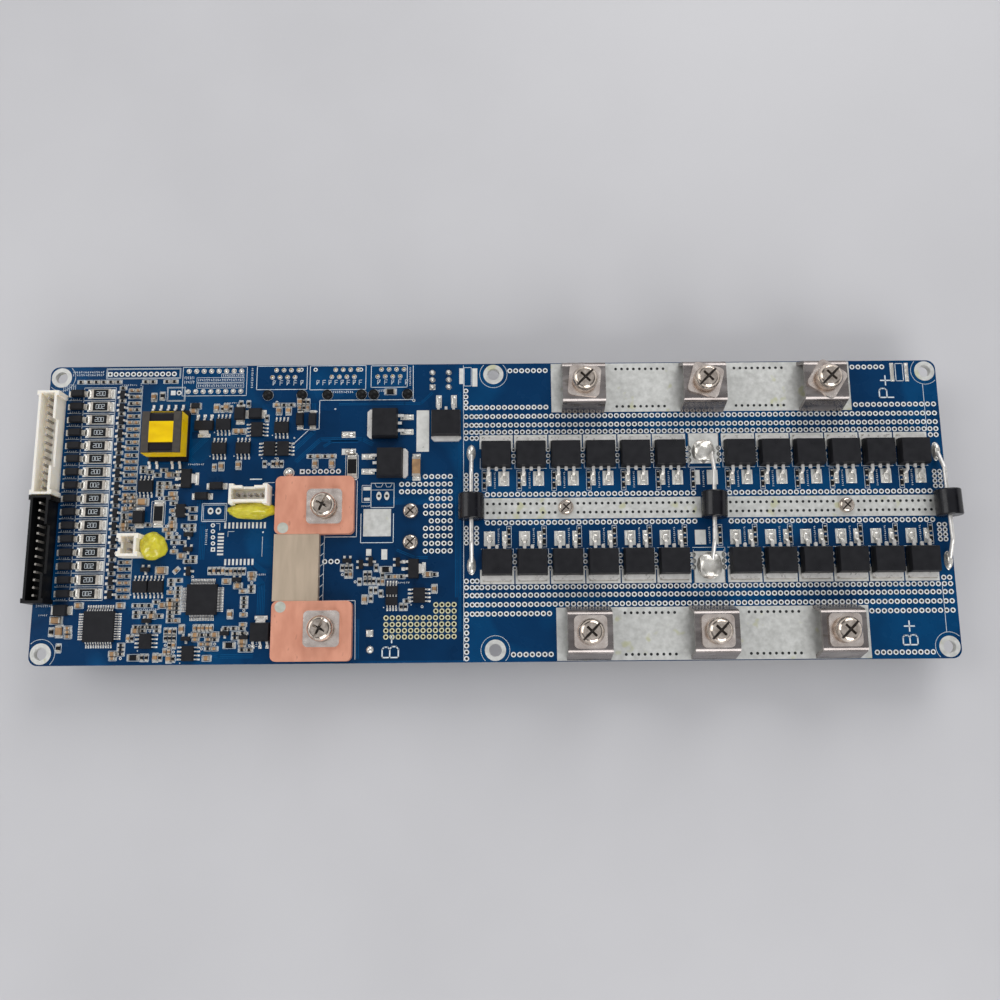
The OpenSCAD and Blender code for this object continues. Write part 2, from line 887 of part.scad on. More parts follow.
module balance_resistors() {
    color("#1e1e22") {
        for (k = [0:balance_rows - 1])
            translate([balance_resistor_x, balance_y - k * balance_pitch, top])
                block(resistor_size);
        at_turned(loose_resistors, top)
            block(resistor_size);
    }
}

module chip_capacitor() {
    color("#b58b62")
        translate([capacitor_at[0], capacitor_at[1], top])
            block([2.6, 6.4, 1.8]);
}

// ---------- underside jacks ----------

function jack_pin_places() = [
    for (x = jack_x, row = [0, 1], k = [0:3])
        [x + (k - 1.5) * jack_row_pitch + (row - 0.5) * jack_row_pitch / 2, jack_row_y[row]]
];

// Upright modular jack below the board: mouth downwards, two pegs through the board
module modular_jack(index) {
    color("#141417")
        translate([jack_x[index], jack_y, 0]) {
            difference() {
                translate([0, 0, -jack_h])
                    block([jack_w, jack_d, jack_h]);
                translate([0, mouth_off, -jack_h - eps])
                    block(jack_mouth);
                translate([0, mouth_off - jack_mouth[1] / 2, -jack_h - eps])
                    block([latch_w, 2 * latch_d, jack_mouth[2] - 3]);
            }
            for (s = [-1, 1])
                translate([s * peg_space / 2, peg_y - jack_y, 0])
                    cylinder(h = board_t + peg_out, d = peg_d);
        }
}

// Spring contacts inside each mouth, and the pins that rise through the board
module jack_contacts() {
    roof = -jack_h + jack_mouth[2];
    wall_y = jack_y + mouth_off + jack_mouth[1] / 2;
    color("#c8a24a") {
        for (x = jack_x, k = [0:7])
            translate([x + (k - 3.5) * contact_pitch, wall_y - contact_size[1] / 2,
                       roof - contact_size[2]])
                block(contact_size);
        at_each(jack_pin_places(), 0)
            block([jack_pin_side, jack_pin_side, board_t + pin_out]);
    }
}

function dual_pin_places() = [
    for (s = [-1, 1], k = [0:dual_ways - 1])
        [dual_at[0] + (k - (dual_ways - 1) / 2) * dual_pitch, dual_at[1] + s * dual_space / 2]
];

module dual_in_line_chip() {
    color("#202024")
        translate([dual_at[0], dual_at[1], -dual_deep])
            moulded([dual_pitch * dual_ways - 0.8, dual_w, dual_h], 0.3, 0.3);
}

// Legs step out of the body's long sides and rise through the board
module dual_in_line_legs() {
    color("#c9c8c4")
        for (turn = [0, 180], k = [0:dual_ways - 1])
            translate([dual_at[0], dual_at[1], -dual_leg_z])
                rotate([0, 0, turn])
                    translate([(k - (dual_ways - 1) / 2) * dual_pitch, dual_space / 2, 0]) {
                        block([jack_pin_side, dual_leg_t, dual_leg_z + board_t + pin_out]);
                        translate([-jack_pin_side / 2, -(dual_space - dual_w) / 2, 0])
                            cube([jack_pin_side, (dual_space - dual_w) / 2, dual_leg_t]);
                    }
}

function six_pin_places() = [
    for (s = [-1, 1], k = [-1, 0, 1]) [six_at[0] + s * six_rows / 2, six_at[1] + k * dual_pitch]
];

module six_pin_socket() {
    color("#1c1c20")
        translate([six_at[0], six_at[1], -six_size[2]])
            block(six_size);
}

module six_pin_legs() {
    color("#c9c8c4")
        at_each(six_pin_places(), 0)
            block([jack_pin_side, jack_pin_side, board_t + pin_out]);
}

// ---------- heatsink ----------

module heatsink() {
    color("#9da1a4")
        difference() {
            translate([sink_x0, -sink_w / 2, -pad_t - sink_h])
                union() {
                    translate([0, 0, sink_h - sink_base])
                        cube([sink_l, sink_w, sink_base]);
                    for (k = [0:fin_count - 1])
                        translate([0, k * fin_step, 0])
                            cube([sink_l, fin_t, sink_h]);
                }
            at_each(sink_places, -pad_t - sink_base - 1)
                cylinder(h = sink_base + 2, r = sink_screw_d / 2 + thread_clear);
        }
}

module thermal_pad() {
    color("#7f8fa3")
        difference() {
            translate([sink_x0 + 1, -sink_w / 2 + 1, -pad_t])
                cube([sink_l - 2, sink_w - 2, pad_t]);
            at_each(sink_places, -pad_t - eps)
                cylinder(h = pad_t + 2 * eps, r = sink_screw_d / 2 + 2 * thread_clear);
        }
}

module heatsink_screws() {
    color("#c4bfb6")
        at_each(sink_places, top)
            pan_screw(sink_screw_d, sink_head_r, sink_head_h, board_t + pad_t + sink_base);
}

// ---------- nodes ----------

circuit_board();
terminal_bracket(0);  // pack_terminal_left
terminal_bracket(1);  // pack_terminal_middle
terminal_bracket(2);  // pack_terminal_right
terminal_bracket(3);  // battery_terminal_left
terminal_bracket(4);  // battery_terminal_middle
terminal_bracket(5);  // battery_terminal_right
terminal_washers();
terminal_spring_washers();
terminal_screws();
terminal_nuts();
shunt_plate(1);  // shunt_upper_plate
shunt_bridge();
shunt_plate(-1);  // shunt_lower_plate
shunt_washers();
shunt_spring_washers();
shunt_screws();
shunt_nuts();
transistor_bodies(fet_left, 1);  // transistors_upper_left
transistor_bodies(fet_right, 1);  // transistors_upper_right
transistor_bodies(fet_left, -1);  // transistors_lower_left
transistor_bodies(fet_right, -1);  // transistors_lower_right
lead_frames(1);  // lead_frames_upper
lead_frames(-1);  // lead_frames_lower
surge_diode(0);  // surge_diode_left
surge_diode(1);  // surge_diode_middle
surge_diode(2);  // surge_diode_right
surge_diode_wires();
regulators();
regulator_frames();
color("#ede6dc") cell_header(white_y);  // white_cell_header
color("#0b0b0c") cell_header(black_y);  // black_cell_header
cell_header_pins();
two_pin_header();
five_pin_header();
small_header_pins();
transformer_core();
transformer_bobbin();
transformer_winding();
transformer_tape();
transformer_leads();
controller_chip();
monitor_chip();
small_outline_chips();
tab_regulators();
board_diodes();
balance_diodes();
balance_resistors();
chip_capacitor();
modular_jack(0);  // modular_jack_left
modular_jack(1);  // modular_jack_middle
modular_jack(2);  // modular_jack_right
jack_contacts();
dual_in_line_chip();
dual_in_line_legs();
six_pin_socket();
six_pin_legs();
heatsink();
thermal_pad();
heatsink_screws();
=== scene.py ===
"""Looks of a battery management board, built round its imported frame, in metres."""

import logging
import math
from collections.abc import Iterable, Sequence
from dataclasses import dataclass, field
from enum import Enum
from itertools import product

import bmesh
import bpy
from mathutils import Matrix, Vector, noise


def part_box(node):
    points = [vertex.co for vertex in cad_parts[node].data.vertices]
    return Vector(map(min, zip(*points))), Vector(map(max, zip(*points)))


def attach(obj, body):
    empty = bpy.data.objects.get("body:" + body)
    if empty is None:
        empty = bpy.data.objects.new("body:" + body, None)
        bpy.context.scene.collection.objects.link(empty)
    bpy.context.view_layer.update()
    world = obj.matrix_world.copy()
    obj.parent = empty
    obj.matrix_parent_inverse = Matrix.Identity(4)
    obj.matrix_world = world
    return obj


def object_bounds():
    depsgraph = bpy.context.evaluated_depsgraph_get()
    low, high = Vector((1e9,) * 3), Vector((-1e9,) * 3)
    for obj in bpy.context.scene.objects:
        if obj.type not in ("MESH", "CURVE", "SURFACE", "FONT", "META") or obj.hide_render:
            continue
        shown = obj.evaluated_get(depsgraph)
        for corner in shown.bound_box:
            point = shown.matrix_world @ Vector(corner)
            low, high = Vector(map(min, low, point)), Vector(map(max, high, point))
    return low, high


LOG = logging.getLogger("battery_board")
MM = 0.001
# Heights in millimetres: of ink, of a tinned pad and of a tinned strip.
PRINT = 0.03
PAD = 0.05
STRIP = 0.06
# How far ink starts above the board, so that it also covers thin tracks.
INK_LIFT = 0.02
# Width in millimetres of the broad copper fields that darken the mask.
COPPER_FIELD = 38.0
# Copies of a master shape that are placed in one go.
TRAY = 48
Socket = bpy.types.NodeSocket
Tree = bpy.types.NodeTree
Point = tuple[float, float]
Box = tuple[float, float, float, float]


class Slot(str, Enum):
    """Material slots of the record that each layer keeps beside its finish; nothing reads them."""

    BOARD = "solder_mask_board"
    TIN = "tinned_leads"
    EPOXY = "moulded_package"
    RESISTOR = "resistor_glaze"
    CERAMIC = "capacitor_ceramic"
    NYLON = "white_nylon"
    TAPE = "yellow_tape"


def linear(code: str) -> tuple[float, float, float, float]:
    """Turns an sRGB hex colour into linear light.

    Args:
        code: A hash mark and six hex digits.

    Returns:
        Red, green, blue and a full fourth channel.
    """
    parts = [int(code[i:i + 2], 16) / 255 for i in (1, 3, 5)]
    r, g, b = (c / 12.92 if c <= 0.04045 else ((c + 0.055) / 1.055) ** 2.4 for c in parts)
    return r, g, b, 1.0


def add_node(tree: Tree, kind: str, settings: dict[str, object] | None = None,
             links: dict[str | int, Socket] | None = None) -> bpy.types.Node:
    """Adds one node to a tree.

    Args:
        tree: The tree that gets the node.
        kind: The node's type name.
        settings: Values for its properties, or for its inputs by name or place.
        links: Output sockets to join to its inputs, by name or place.

    Returns:
        The new node.
    """
    node = tree.nodes.new(kind)
    for key, value in (settings or {}).items():
        if isinstance(key, str) and hasattr(node, key):
            setattr(node, key, value)
        else:
            node.inputs[key].default_value = value
    for key, source in (links or {}).items():
        tree.links.new(source, node.inputs[key])
    return node


# ---------------------------------------------------------------- finishes


@dataclass(frozen=True)
class Finish:
    """A surface with a mottled colour, an uneven gloss and a fine relief.

    Patch and grain are real sizes in millimetres; depth is the relief's height.
    """

    name: str
    tint: str
    shade: str
    rough: float
    metal: float = 0.0
    spread: float = 0.08
    patch: float = 3.0
    grain: float = 1.0
    depth: float = 0.01
    stretch: tuple[float, float, float] = (1.0, 1.0, 1.0)
    contrast: float = 0.5
    coat: float = 0.0
    soft: float = 0.0
    shine: float = 0.5

    def material(self) -> bpy.types.Material:
        """Makes the material of this finish, once.

        Returns:
            The material.
        """
        found = bpy.data.materials.get(self.name)
        if found is not None:
            return found
        material = bpy.data.materials.new(self.name)
        material.use_nodes = True
        tree = material.node_tree
        tree.nodes.clear()
        shader = add_node(tree, "ShaderNodeBsdfPrincipled", {
            "Metallic": self.metal, "Coat Weight": self.coat, "Coat Roughness": 0.12,
            "Subsurface Weight": self.soft, "Subsurface Radius": (2.4, 2.0, 1.5),
            "Subsurface Scale": MM, "Specular IOR Level": self.shine})
        add_node(tree, "ShaderNodeOutputMaterial", links={"Surface": shader.outputs[0]})
        self.paint(tree, shader)
        material.diffuse_color = linear(self.tint)
        return material

    def pattern(self, tree: Tree, size: float, detail: float = 3.0) -> Socket:
        """Lays a cloudy pattern over the piece.

        Args:
            tree: The material's tree.
            size: Width of one patch in millimetres.
            detail: Octaves of the pattern.

        Returns:
            The pattern's value, from 0 to 1.
        """
        place = add_node(tree, "ShaderNodeTexCoord")
        turned = add_node(tree, "ShaderNodeMapping", {"Scale": self.stretch},
                          {"Vector": place.outputs["Object"]})
        cloud = add_node(tree, "ShaderNodeTexNoise", {"Scale": 1 / (size * MM), "Detail": detail},
                         {"Vector": turned.outputs[0]})
        return cloud.outputs[0]

    def paint(self, tree: Tree, shader: bpy.types.Node) -> None:
        """Joins colour, gloss and relief to the shader.

        Args:
            tree: The material's tree.
            shader: The node that they are joined to.
        """
        patches = self.pattern(tree, self.patch)
        colour = add_node(tree, "ShaderNodeValToRGB", links={0: patches})
        half = self.contrast / 2
        for stop, place, code in zip(colour.color_ramp.elements, (0.5 - half, 0.5 + half),
                                     (self.shade, self.tint)):
            stop.position, stop.color = place, linear(code)
        gloss = add_node(tree, "ShaderNodeMapRange", {
            "From Min": 0.3, "From Max": 0.7, "To Min": max(0.02, self.rough - self.spread),
            "To Max": min(1.0, self.rough + self.spread)}, {"Value": patches})
        relief = add_node(tree, "ShaderNodeBump", {"Strength": 1.0, "Distance": self.depth * MM},
                          {"Height": self.pattern(tree, self.grain)})
        tree.links.new(self.tone(tree, colour.outputs[0]), shader.inputs["Base Color"])
        tree.links.new(gloss.outputs[0], shader.inputs["Roughness"])
        tree.links.new(relief.outputs[0], shader.inputs["Normal"])

    def tone(self, tree: Tree, colour: Socket) -> Socket:
        """Returns the colour to use; a finish with a second pattern adds it here."""
        return colour

    def overlay(self, tree: Tree, colour: Socket, code: str, pattern: Socket,
                ramp: tuple[float, float, float]) -> Socket:
        """Lays a second colour over the first where a pattern is high.

        Args:
            tree: The material's tree.
            colour: The colour below.
            code: The second colour.
            pattern: The pattern's value.
            ramp: Where it starts to show, where it is full, and how strong it is there.

        Returns:
            The mixed colour.
        """
        start, full, most = ramp
        step = add_node(tree, "ShaderNodeMapRange",
                        {"From Min": start, "From Max": full, "To Max": most},
                        {"Value": pattern})
        mix = add_node(tree, "ShaderNodeMix", {"data_type": "RGBA", 7: linear(code)},
                       {0: step.outputs[0], 6: colour})
        return mix.outputs[2]


@dataclass(frozen=True)
class SolderMask(Finish):
    """Blue epoxy mask: glossy, a little darker where copper lies under it."""

    copper: str = "#00284E"

    def tone(self, tree: Tree, colour: Socket) -> Socket:
        """Darkens broad fields, as copper under the mask does."""
        fields = self.pattern(tree, COPPER_FIELD, 1.0)
        return self.overlay(tree, colour, self.copper, fields, (0.49, 0.52, 0.6))


@dataclass(frozen=True)
class SpottedMetal(Finish):
    """Metal with small separate marks, such as flux spots or tarnish."""

    spot: str = "#8A7A50"
    spot_size: float = 1.5
    spot_level: float = 0.68

    def tone(self, tree: Tree, colour: Socket) -> Socket:
        """Adds the marks where a second pattern peaks."""
        ramp = (self.spot_level, self.spot_level + 0.08, 0.75)
        return self.overlay(tree, colour, self.spot, self.pattern(tree, self.spot_size, 2.0), ramp)


# Every relief below has a grain of about 1 mm or more: the real grit is finer than
# the render can resolve, so it is drawn as coarse as it needs to show.

# Blue liquid solder mask over glass laminate: wet gloss, slow waves in the film.
MASK = SolderMask("blue_solder_mask", "#00406C", "#00345C", 0.26, spread=0.05, patch=9.0,
                  grain=2.2, depth=0.006, shine=0.12)
# The same mask over a raised copper track: a shade lighter.
MASK_TRACK = Finish("masked_track", "#024B7A", "#014370", 0.26, spread=0.04, patch=6.0, grain=1.8,
                    depth=0.005, shine=0.12)
# Mask over a bare field with no copper below it: a deeper blue.
MASK_FIELD = Finish("masked_laminate", "#002E54", "#00284B", 0.3, spread=0.04, patch=6.0,
                    grain=1.8, depth=0.005, shine=0.12)
# Epoxy legend ink: matt and a touch uneven where the screen left less.
SILK = Finish("legend_ink", "#DDE3E6", "#C3CCD2", 0.7, patch=1.1, depth=0.004)
# Levelled tin on wide bare copper: cloudy, with soft yellow-green oxide clouds.
BUS_TIN = SpottedMetal("levelled_tin_strip", "#D9D9D5", "#BDBDB8", 0.42, 0.3, spread=0.1,
                       patch=1.5, grain=1.6, depth=0.03, spot="#C2C29A", spot_size=5.0,
                       spot_level=0.62)
# Reflowed tin on small pads: bright and slightly wavy.
PAD_TIN = Finish("reflowed_tin_pad", "#E6E5E0", "#D0CFC9", 0.35, 0.3, patch=2.2, grain=1.4,
                 depth=0.02)
# Tin ring round a plated hole: small, bright, evenly coated.
RING_TIN = Finish("plated_hole_ring", "#ECEDEC", "#D2D4D3", 0.4, 0.15, patch=2.0, grain=1.2)
# The rings where the flux was left on: a yellow cast.
FLUXED_TIN = Finish("fluxed_hole_ring", "#DAD8B8", "#C0BD96", 0.4, 0.15, patch=2.0, grain=1.2)
# Solder joint: rounded and mirror-like, dulled in places by flux.
SOLDER = SpottedMetal("solder_joint", "#F2EEE6", "#CFCAC0", 0.24, 0.7, patch=2.0, grain=1.8,
                      depth=0.04, contrast=0.4, spot="#A79A7E", spot_size=2.6)
# Painted shade in the mouth of a drilled hole, and a painted shadow strip along each power
# package's front: nearly black.
PAINTED_HOLE_SHADE = Finish("drilled_hole_shade", "#0A0D10", "#121518", 0.6, patch=1.0, depth=0.002)
# Glass-filled epoxy mould compound: matt charcoal, dusty in slow patches.
EPOXY = Finish("mould_compound", "#242427", "#1B1B1E", 0.5, patch=2.4, grain=0.9, depth=0.012,
               shine=0.16)
# The same compound on the axial diodes, smoother and bluish black.
DIODE_EPOXY = Finish("diode_compound", "#131218", "#0B0B0F", 0.24, grain=1.2, depth=0.012,
                     shine=0.35)
# Tinned leads and frames: silver, faintly streaked by the forming tool.
LEAD_TIN = Finish("tinned_lead", "#F0EDE8", "#D2CEC8", 0.32, 0.45, patch=2.0, grain=1.4,
                  depth=0.012)
# Fired silver and tin ends of the chip parts: duller than a formed lead.
END_CAP = Finish("chip_end_cap", "#D2CCC2", "#8E867C", 0.36, 0.5, patch=1.8, grain=1.2)
# Nickel plated steel hardware: warm bright metal, mottled strongly with dark brown as painted
# reflections.
NICKEL = Finish("nickel_plate", "#FFF1E2", "#8A7B6E", 0.16, 0.92, spread=0.06, patch=1.7,
                grain=2.4, depth=0.09, contrast=0.75)
# The same plating on the flat washers: evener, and painted brighter because they lie flat, which
# is painted light.
WASHER = Finish("nickel_plated_washer", "#FFF4EA", "#CDBDB2", 0.22, 0.9, grain=3.0,
                depth=0.05)
# Tin on the square pins down in a header, painted darker to a dull grey as painted shade.
SHADED_PIN_TIN = Finish("header_pin_tin_painted_shade", "#A9A49D", "#7F7A74", 0.42, 0.6, patch=1.6)
# Painted shade in the bottom of a screw's recess: matt dark brown.
RECESS_SHADE = Finish("painted_recess_shade", "#332A22", "#1B1612", 0.6, patch=1.2, depth=0.02)
# Tin plated steel brackets: softer shine, with dark brown spots drawn out along X.
BRACKET = SpottedMetal("tin_plated_steel", "#A39C99", "#6E6764", 0.26, 0.9, patch=4.0, grain=1.8,
                       depth=0.03, stretch=(0.35, 1.0, 1.0), spot="#5E5347", spot_size=3.2,
                       spot_level=0.64)
# Bare copper sheet: pink-orange, brushed along its length and lightly tarnished.
COPPER = SpottedMetal("bare_copper_sheet", "#E6A489", "#CF8A70", 0.42, 0.3, depth=0.012,
                      contrast=0.6, stretch=(1.0, 0.4, 1.0), spot="#BC7E66")
# Copper-manganese alloy bar: grey-brown, fine lengthwise grinding.
ALLOY = Finish("manganese_alloy_bar", "#C3B09A", "#AF9E89", 0.45, 0.3, patch=2.5, depth=0.008,
               stretch=(1.0, 0.15, 1.0))
# Natural nylon shroud: warm ivory, slightly translucent.
IVORY = Finish("natural_nylon", "#F6EFE3", "#ECE3D4", 0.45, patch=4.0, grain=1.2, soft=0.55)
# Moulded black nylon of the shroud and the jack shells: dull, with a low sheen.
BLACK_NYLON = Finish("black_moulded_nylon", "#0E0E10", "#09090A", 0.42, patch=2.0, shine=0.2)
# Ground manganese-zinc ferrite: dark warm grey, sugary grain.
FERRITE = Finish("ground_ferrite", "#4E4842", "#3B3732", 0.6, patch=1.4, grain=0.9, depth=0.02,
                 shine=0.3)
# Phenolic bobbin: near black with a purple cast.
PHENOLIC = Finish("phenolic_bobbin", "#17131A", "#100D13", 0.45, patch=1.4, depth=0.015, shine=0.2)
# Yellow polyester tape: glossy, with soft wrinkles across the wrap.
TAPE = Finish("polyester_tape", "#F4CE00", "#DCB000", 0.34, grain=2.2, depth=0.1,
              stretch=(0.4, 1.0, 1.0), shine=0.15)
# Fired resistor glaze: near-black and smooth.
GLAZE = Finish("fired_glaze", "#101114", "#0A0B0E", 0.5, patch=1.6, depth=0.004, shine=0.2)
# Fired alumina body of a chip resistor: bone white.
ALUMINA = Finish("chip_alumina", "#C9C7BE", "#B2B0A6", 0.55, patch=1.2, depth=0.006)
# Fired barium titanate body of a ceramic capacitor: tan to brown.
TITANATE = Finish("titanate_ceramic", "#B38C60", "#7C6046", 0.5, patch=2.2)
# Gold flash on phosphor bronze contacts: a smooth yellow shine.
CONTACT = Finish("gilt_contact", "#D8B45C", "#BF9840", 0.25, 0.95, patch=1.2, depth=0.006)
# Extruded aluminium, mill finish: long drawn lines along the profile.
ALUMINIUM = Finish("mill_aluminium", "#B9BCBF", "#9DA1A5", 0.34, 0.95, patch=1.2, depth=0.02,
                   stretch=(0.03, 1.0, 1.0), contrast=0.7)
# Filled silicone gap pad: chalky grey-blue.
GAP_PAD = Finish("silicone_gap_pad", "#8391A4", "#758396", 0.8, patch=1.6, depth=0.03)
# Cured staking glue: yellow-green, waxy and uneven.
GLUE = Finish("staking_glue", "#E8DE3A", "#BDB02C", 0.3, patch=3.6, grain=2.6, depth=0.12,
              soft=0.4, coat=0.3)
# Tin flash on the shunt's weld spots: dull and grey-green.
WELD = Finish("weld_spot", "#CBCDC2", "#AFB2A6", 0.5, 0.3, patch=1.6, depth=0.02)

# The frame's nodes by finish, each group's names with spaces between them.
NODE_GROUPS: dict[Finish, str] = {
    MASK: "circuit_board",
    BRACKET: "pack_terminal_left pack_terminal_middle pack_terminal_right"
             " battery_terminal_left battery_terminal_middle battery_terminal_right",
    WASHER: "terminal_washers shunt_washers",
    NICKEL: "terminal_spring_washers terminal_screws terminal_nuts shunt_spring_washers"
            " shunt_screws shunt_nuts heatsink_screws",
    COPPER: "shunt_upper_plate shunt_lower_plate",
    ALLOY: "shunt_bridge",
    EPOXY: "transistors_upper_left transistors_upper_right transistors_lower_left"
           " transistors_lower_right regulators controller_chip monitor_chip"
           " small_outline_chips tab_regulators board_diodes balance_diodes dual_in_line_chip",
    LEAD_TIN: "lead_frames_upper lead_frames_lower surge_diode_wires regulator_frames"
              " transformer_leads dual_in_line_legs six_pin_legs",
    DIODE_EPOXY: "surge_diode_left surge_diode_middle surge_diode_right",
    IVORY: "white_cell_header two_pin_header five_pin_header",
    BLACK_NYLON: "black_cell_header modular_jack_left modular_jack_middle"
                 " modular_jack_right six_pin_socket",
    # The header pins take tin painted darker: painted shade.
    SHADED_PIN_TIN: "cell_header_pins small_header_pins",
    FERRITE: "transformer_core",
    PHENOLIC: "transformer_bobbin",
    TAPE: "transformer_winding transformer_tape",
    GLAZE: "balance_resistors",
    TITANATE: "chip_capacitor",
    CONTACT: "jack_contacts",
    ALUMINIUM: "heatsink",
    GAP_PAD: "thermal_pad",
}


# ---------------------------------------------------------------- shapes


class Shape(Enum):
    """Master shapes, one unit across and standing on Z = 0, that layers repeat."""

    BLOCK = "block"
    DISC = "disc"
    RING = "ring"
    WIDE_RING = "wide_ring"
    HAIR_RING = "hair_ring"
    DOME = "dome"
    PILLOW = "pillow"
    LEAD = "lead"

    def mesh(self) -> bpy.types.Mesh:
        """Makes the master's mesh, once.

        Returns:
            The mesh.
        """
        name = f"master_{self.value}"
        found = bpy.data.meshes.get(name)
        if found is not None:
            return found
        bm = bmesh.new()
        self.draw(bm)
        bmesh.ops.recalc_face_normals(bm, faces=bm.faces)
        mesh = bpy.data.meshes.new(name)
        bm.to_mesh(mesh)
        bm.free()
        return mesh

    def draw(self, bm: bmesh.types.BMesh) -> None:
        """Draws the master.

        Args:
            bm: The empty bmesh that it is drawn into.
        """
        if self is Shape.BLOCK:
            bmesh.ops.create_cube(bm, size=1.0, matrix=Matrix.Translation((0, 0, 0.5)))
        elif self is Shape.DISC:
            bmesh.ops.create_cone(bm, cap_ends=True, segments=16, radius1=0.5, radius2=0.5,
                                  depth=1.0, matrix=Matrix.Translation((0, 0, 0.5)))
        elif self in (Shape.RING, Shape.WIDE_RING, Shape.HAIR_RING):
            self.draw_ring(bm)
        elif self is Shape.DOME:
            bmesh.ops.create_uvsphere(bm, u_segments=12, v_segments=8, radius=0.5)
            bmesh.ops.bisect_plane(bm, geom=bm.verts[:] + bm.edges[:] + bm.faces[:],
                                   plane_co=(0, 0, 0), plane_no=(0, 0, -1), clear_outer=True)
            bmesh.ops.scale(bm, vec=(1, 1, 2), verts=bm.verts)
        elif self is Shape.PILLOW:
            bmesh.ops.create_cube(bm, size=1.0, matrix=Matrix.Translation((0, 0, 0.5)))
            bmesh.ops.bevel(bm, geom=bm.edges[:], offset=0.22, segments=2, profile=0.5,
                            affect="EDGES", material=-1, clamp_overlap=True)
        elif self is Shape.LEAD:
            self.draw_lead(bm)

    def draw_ring(self, bm: bmesh.types.BMesh) -> None:
        """Draws an annulus with outer and inner walls.

        Args:
            bm: The empty bmesh that it is drawn into.
        """
        inner = {Shape.RING: 0.27, Shape.WIDE_RING: 0.31, Shape.HAIR_RING: 0.48}[self]
        count = 14 if self is Shape.RING else 40
        for radius in (0.5, inner):
            bmesh.ops.create_circle(bm, cap_ends=False, segments=count, radius=radius)
        bmesh.ops.bridge_loops(bm, edges=bm.edges[:])
        grown = bmesh.ops.extrude_face_region(bm, geom=bm.faces[:])
        up = [v for v in grown["geom"] if isinstance(v, bmesh.types.BMVert)]
        bmesh.ops.translate(bm, vec=(0, 0, 1), verts=up)

    def draw_lead(self, bm: bmesh.types.BMesh) -> None:
        """Draws a gull-wing lead: from Y = 0 at height 1 down to a foot at Y = -1.

        Args:
            bm: The empty bmesh that it is drawn into.
        """
        points = [(0.0, 1.0), (-0.3, 1.0), (-0.52, 0.14), (-1.0, 0.14),
                  (-1.0, 0.0), (-0.6, 0.0), (-0.38, 0.84), (0.0, 0.84)]
        ring = [bm.verts.new((-0.5, y, z)) for y, z in points]
        face = bm.faces.new(ring)
        grown = bmesh.ops.extrude_face_region(bm, geom=[face])
        side = [v for v in grown["geom"] if isinstance(v, bmesh.types.BMVert)]
        bmesh.ops.translate(bm, vec=(1, 0, 0), verts=side)


BLOCK, DISC, RING, WIDE_RING, HAIR_RING, DOME, PILLOW, LEAD = Shape


def publish(bm: bmesh.types.BMesh, name: str, finish: Finish,
            smooth: bool = False) -> bpy.types.Object:
    """Turns a finished bmesh into a piece of the model.

    Args:
        bm: The mesh in metres, in the model's frame; it is freed.
        name: The piece's name.
        finish: Its finish.
        smooth: Whether its faces shade smoothly.

    Returns:
        The piece.
    """
    mesh = bpy.data.meshes.new(name)
    bm.to_mesh(mesh)
    bm.free()
    if smooth:
        mesh.shade_smooth()
    mesh.materials.append(finish.material())
    piece = bpy.data.objects.new(name, mesh)
    bpy.context.collection.objects.link(piece)
    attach(piece, "root")
    LOG.info("%s: %d faces", name, len(mesh.polygons))
    return piece


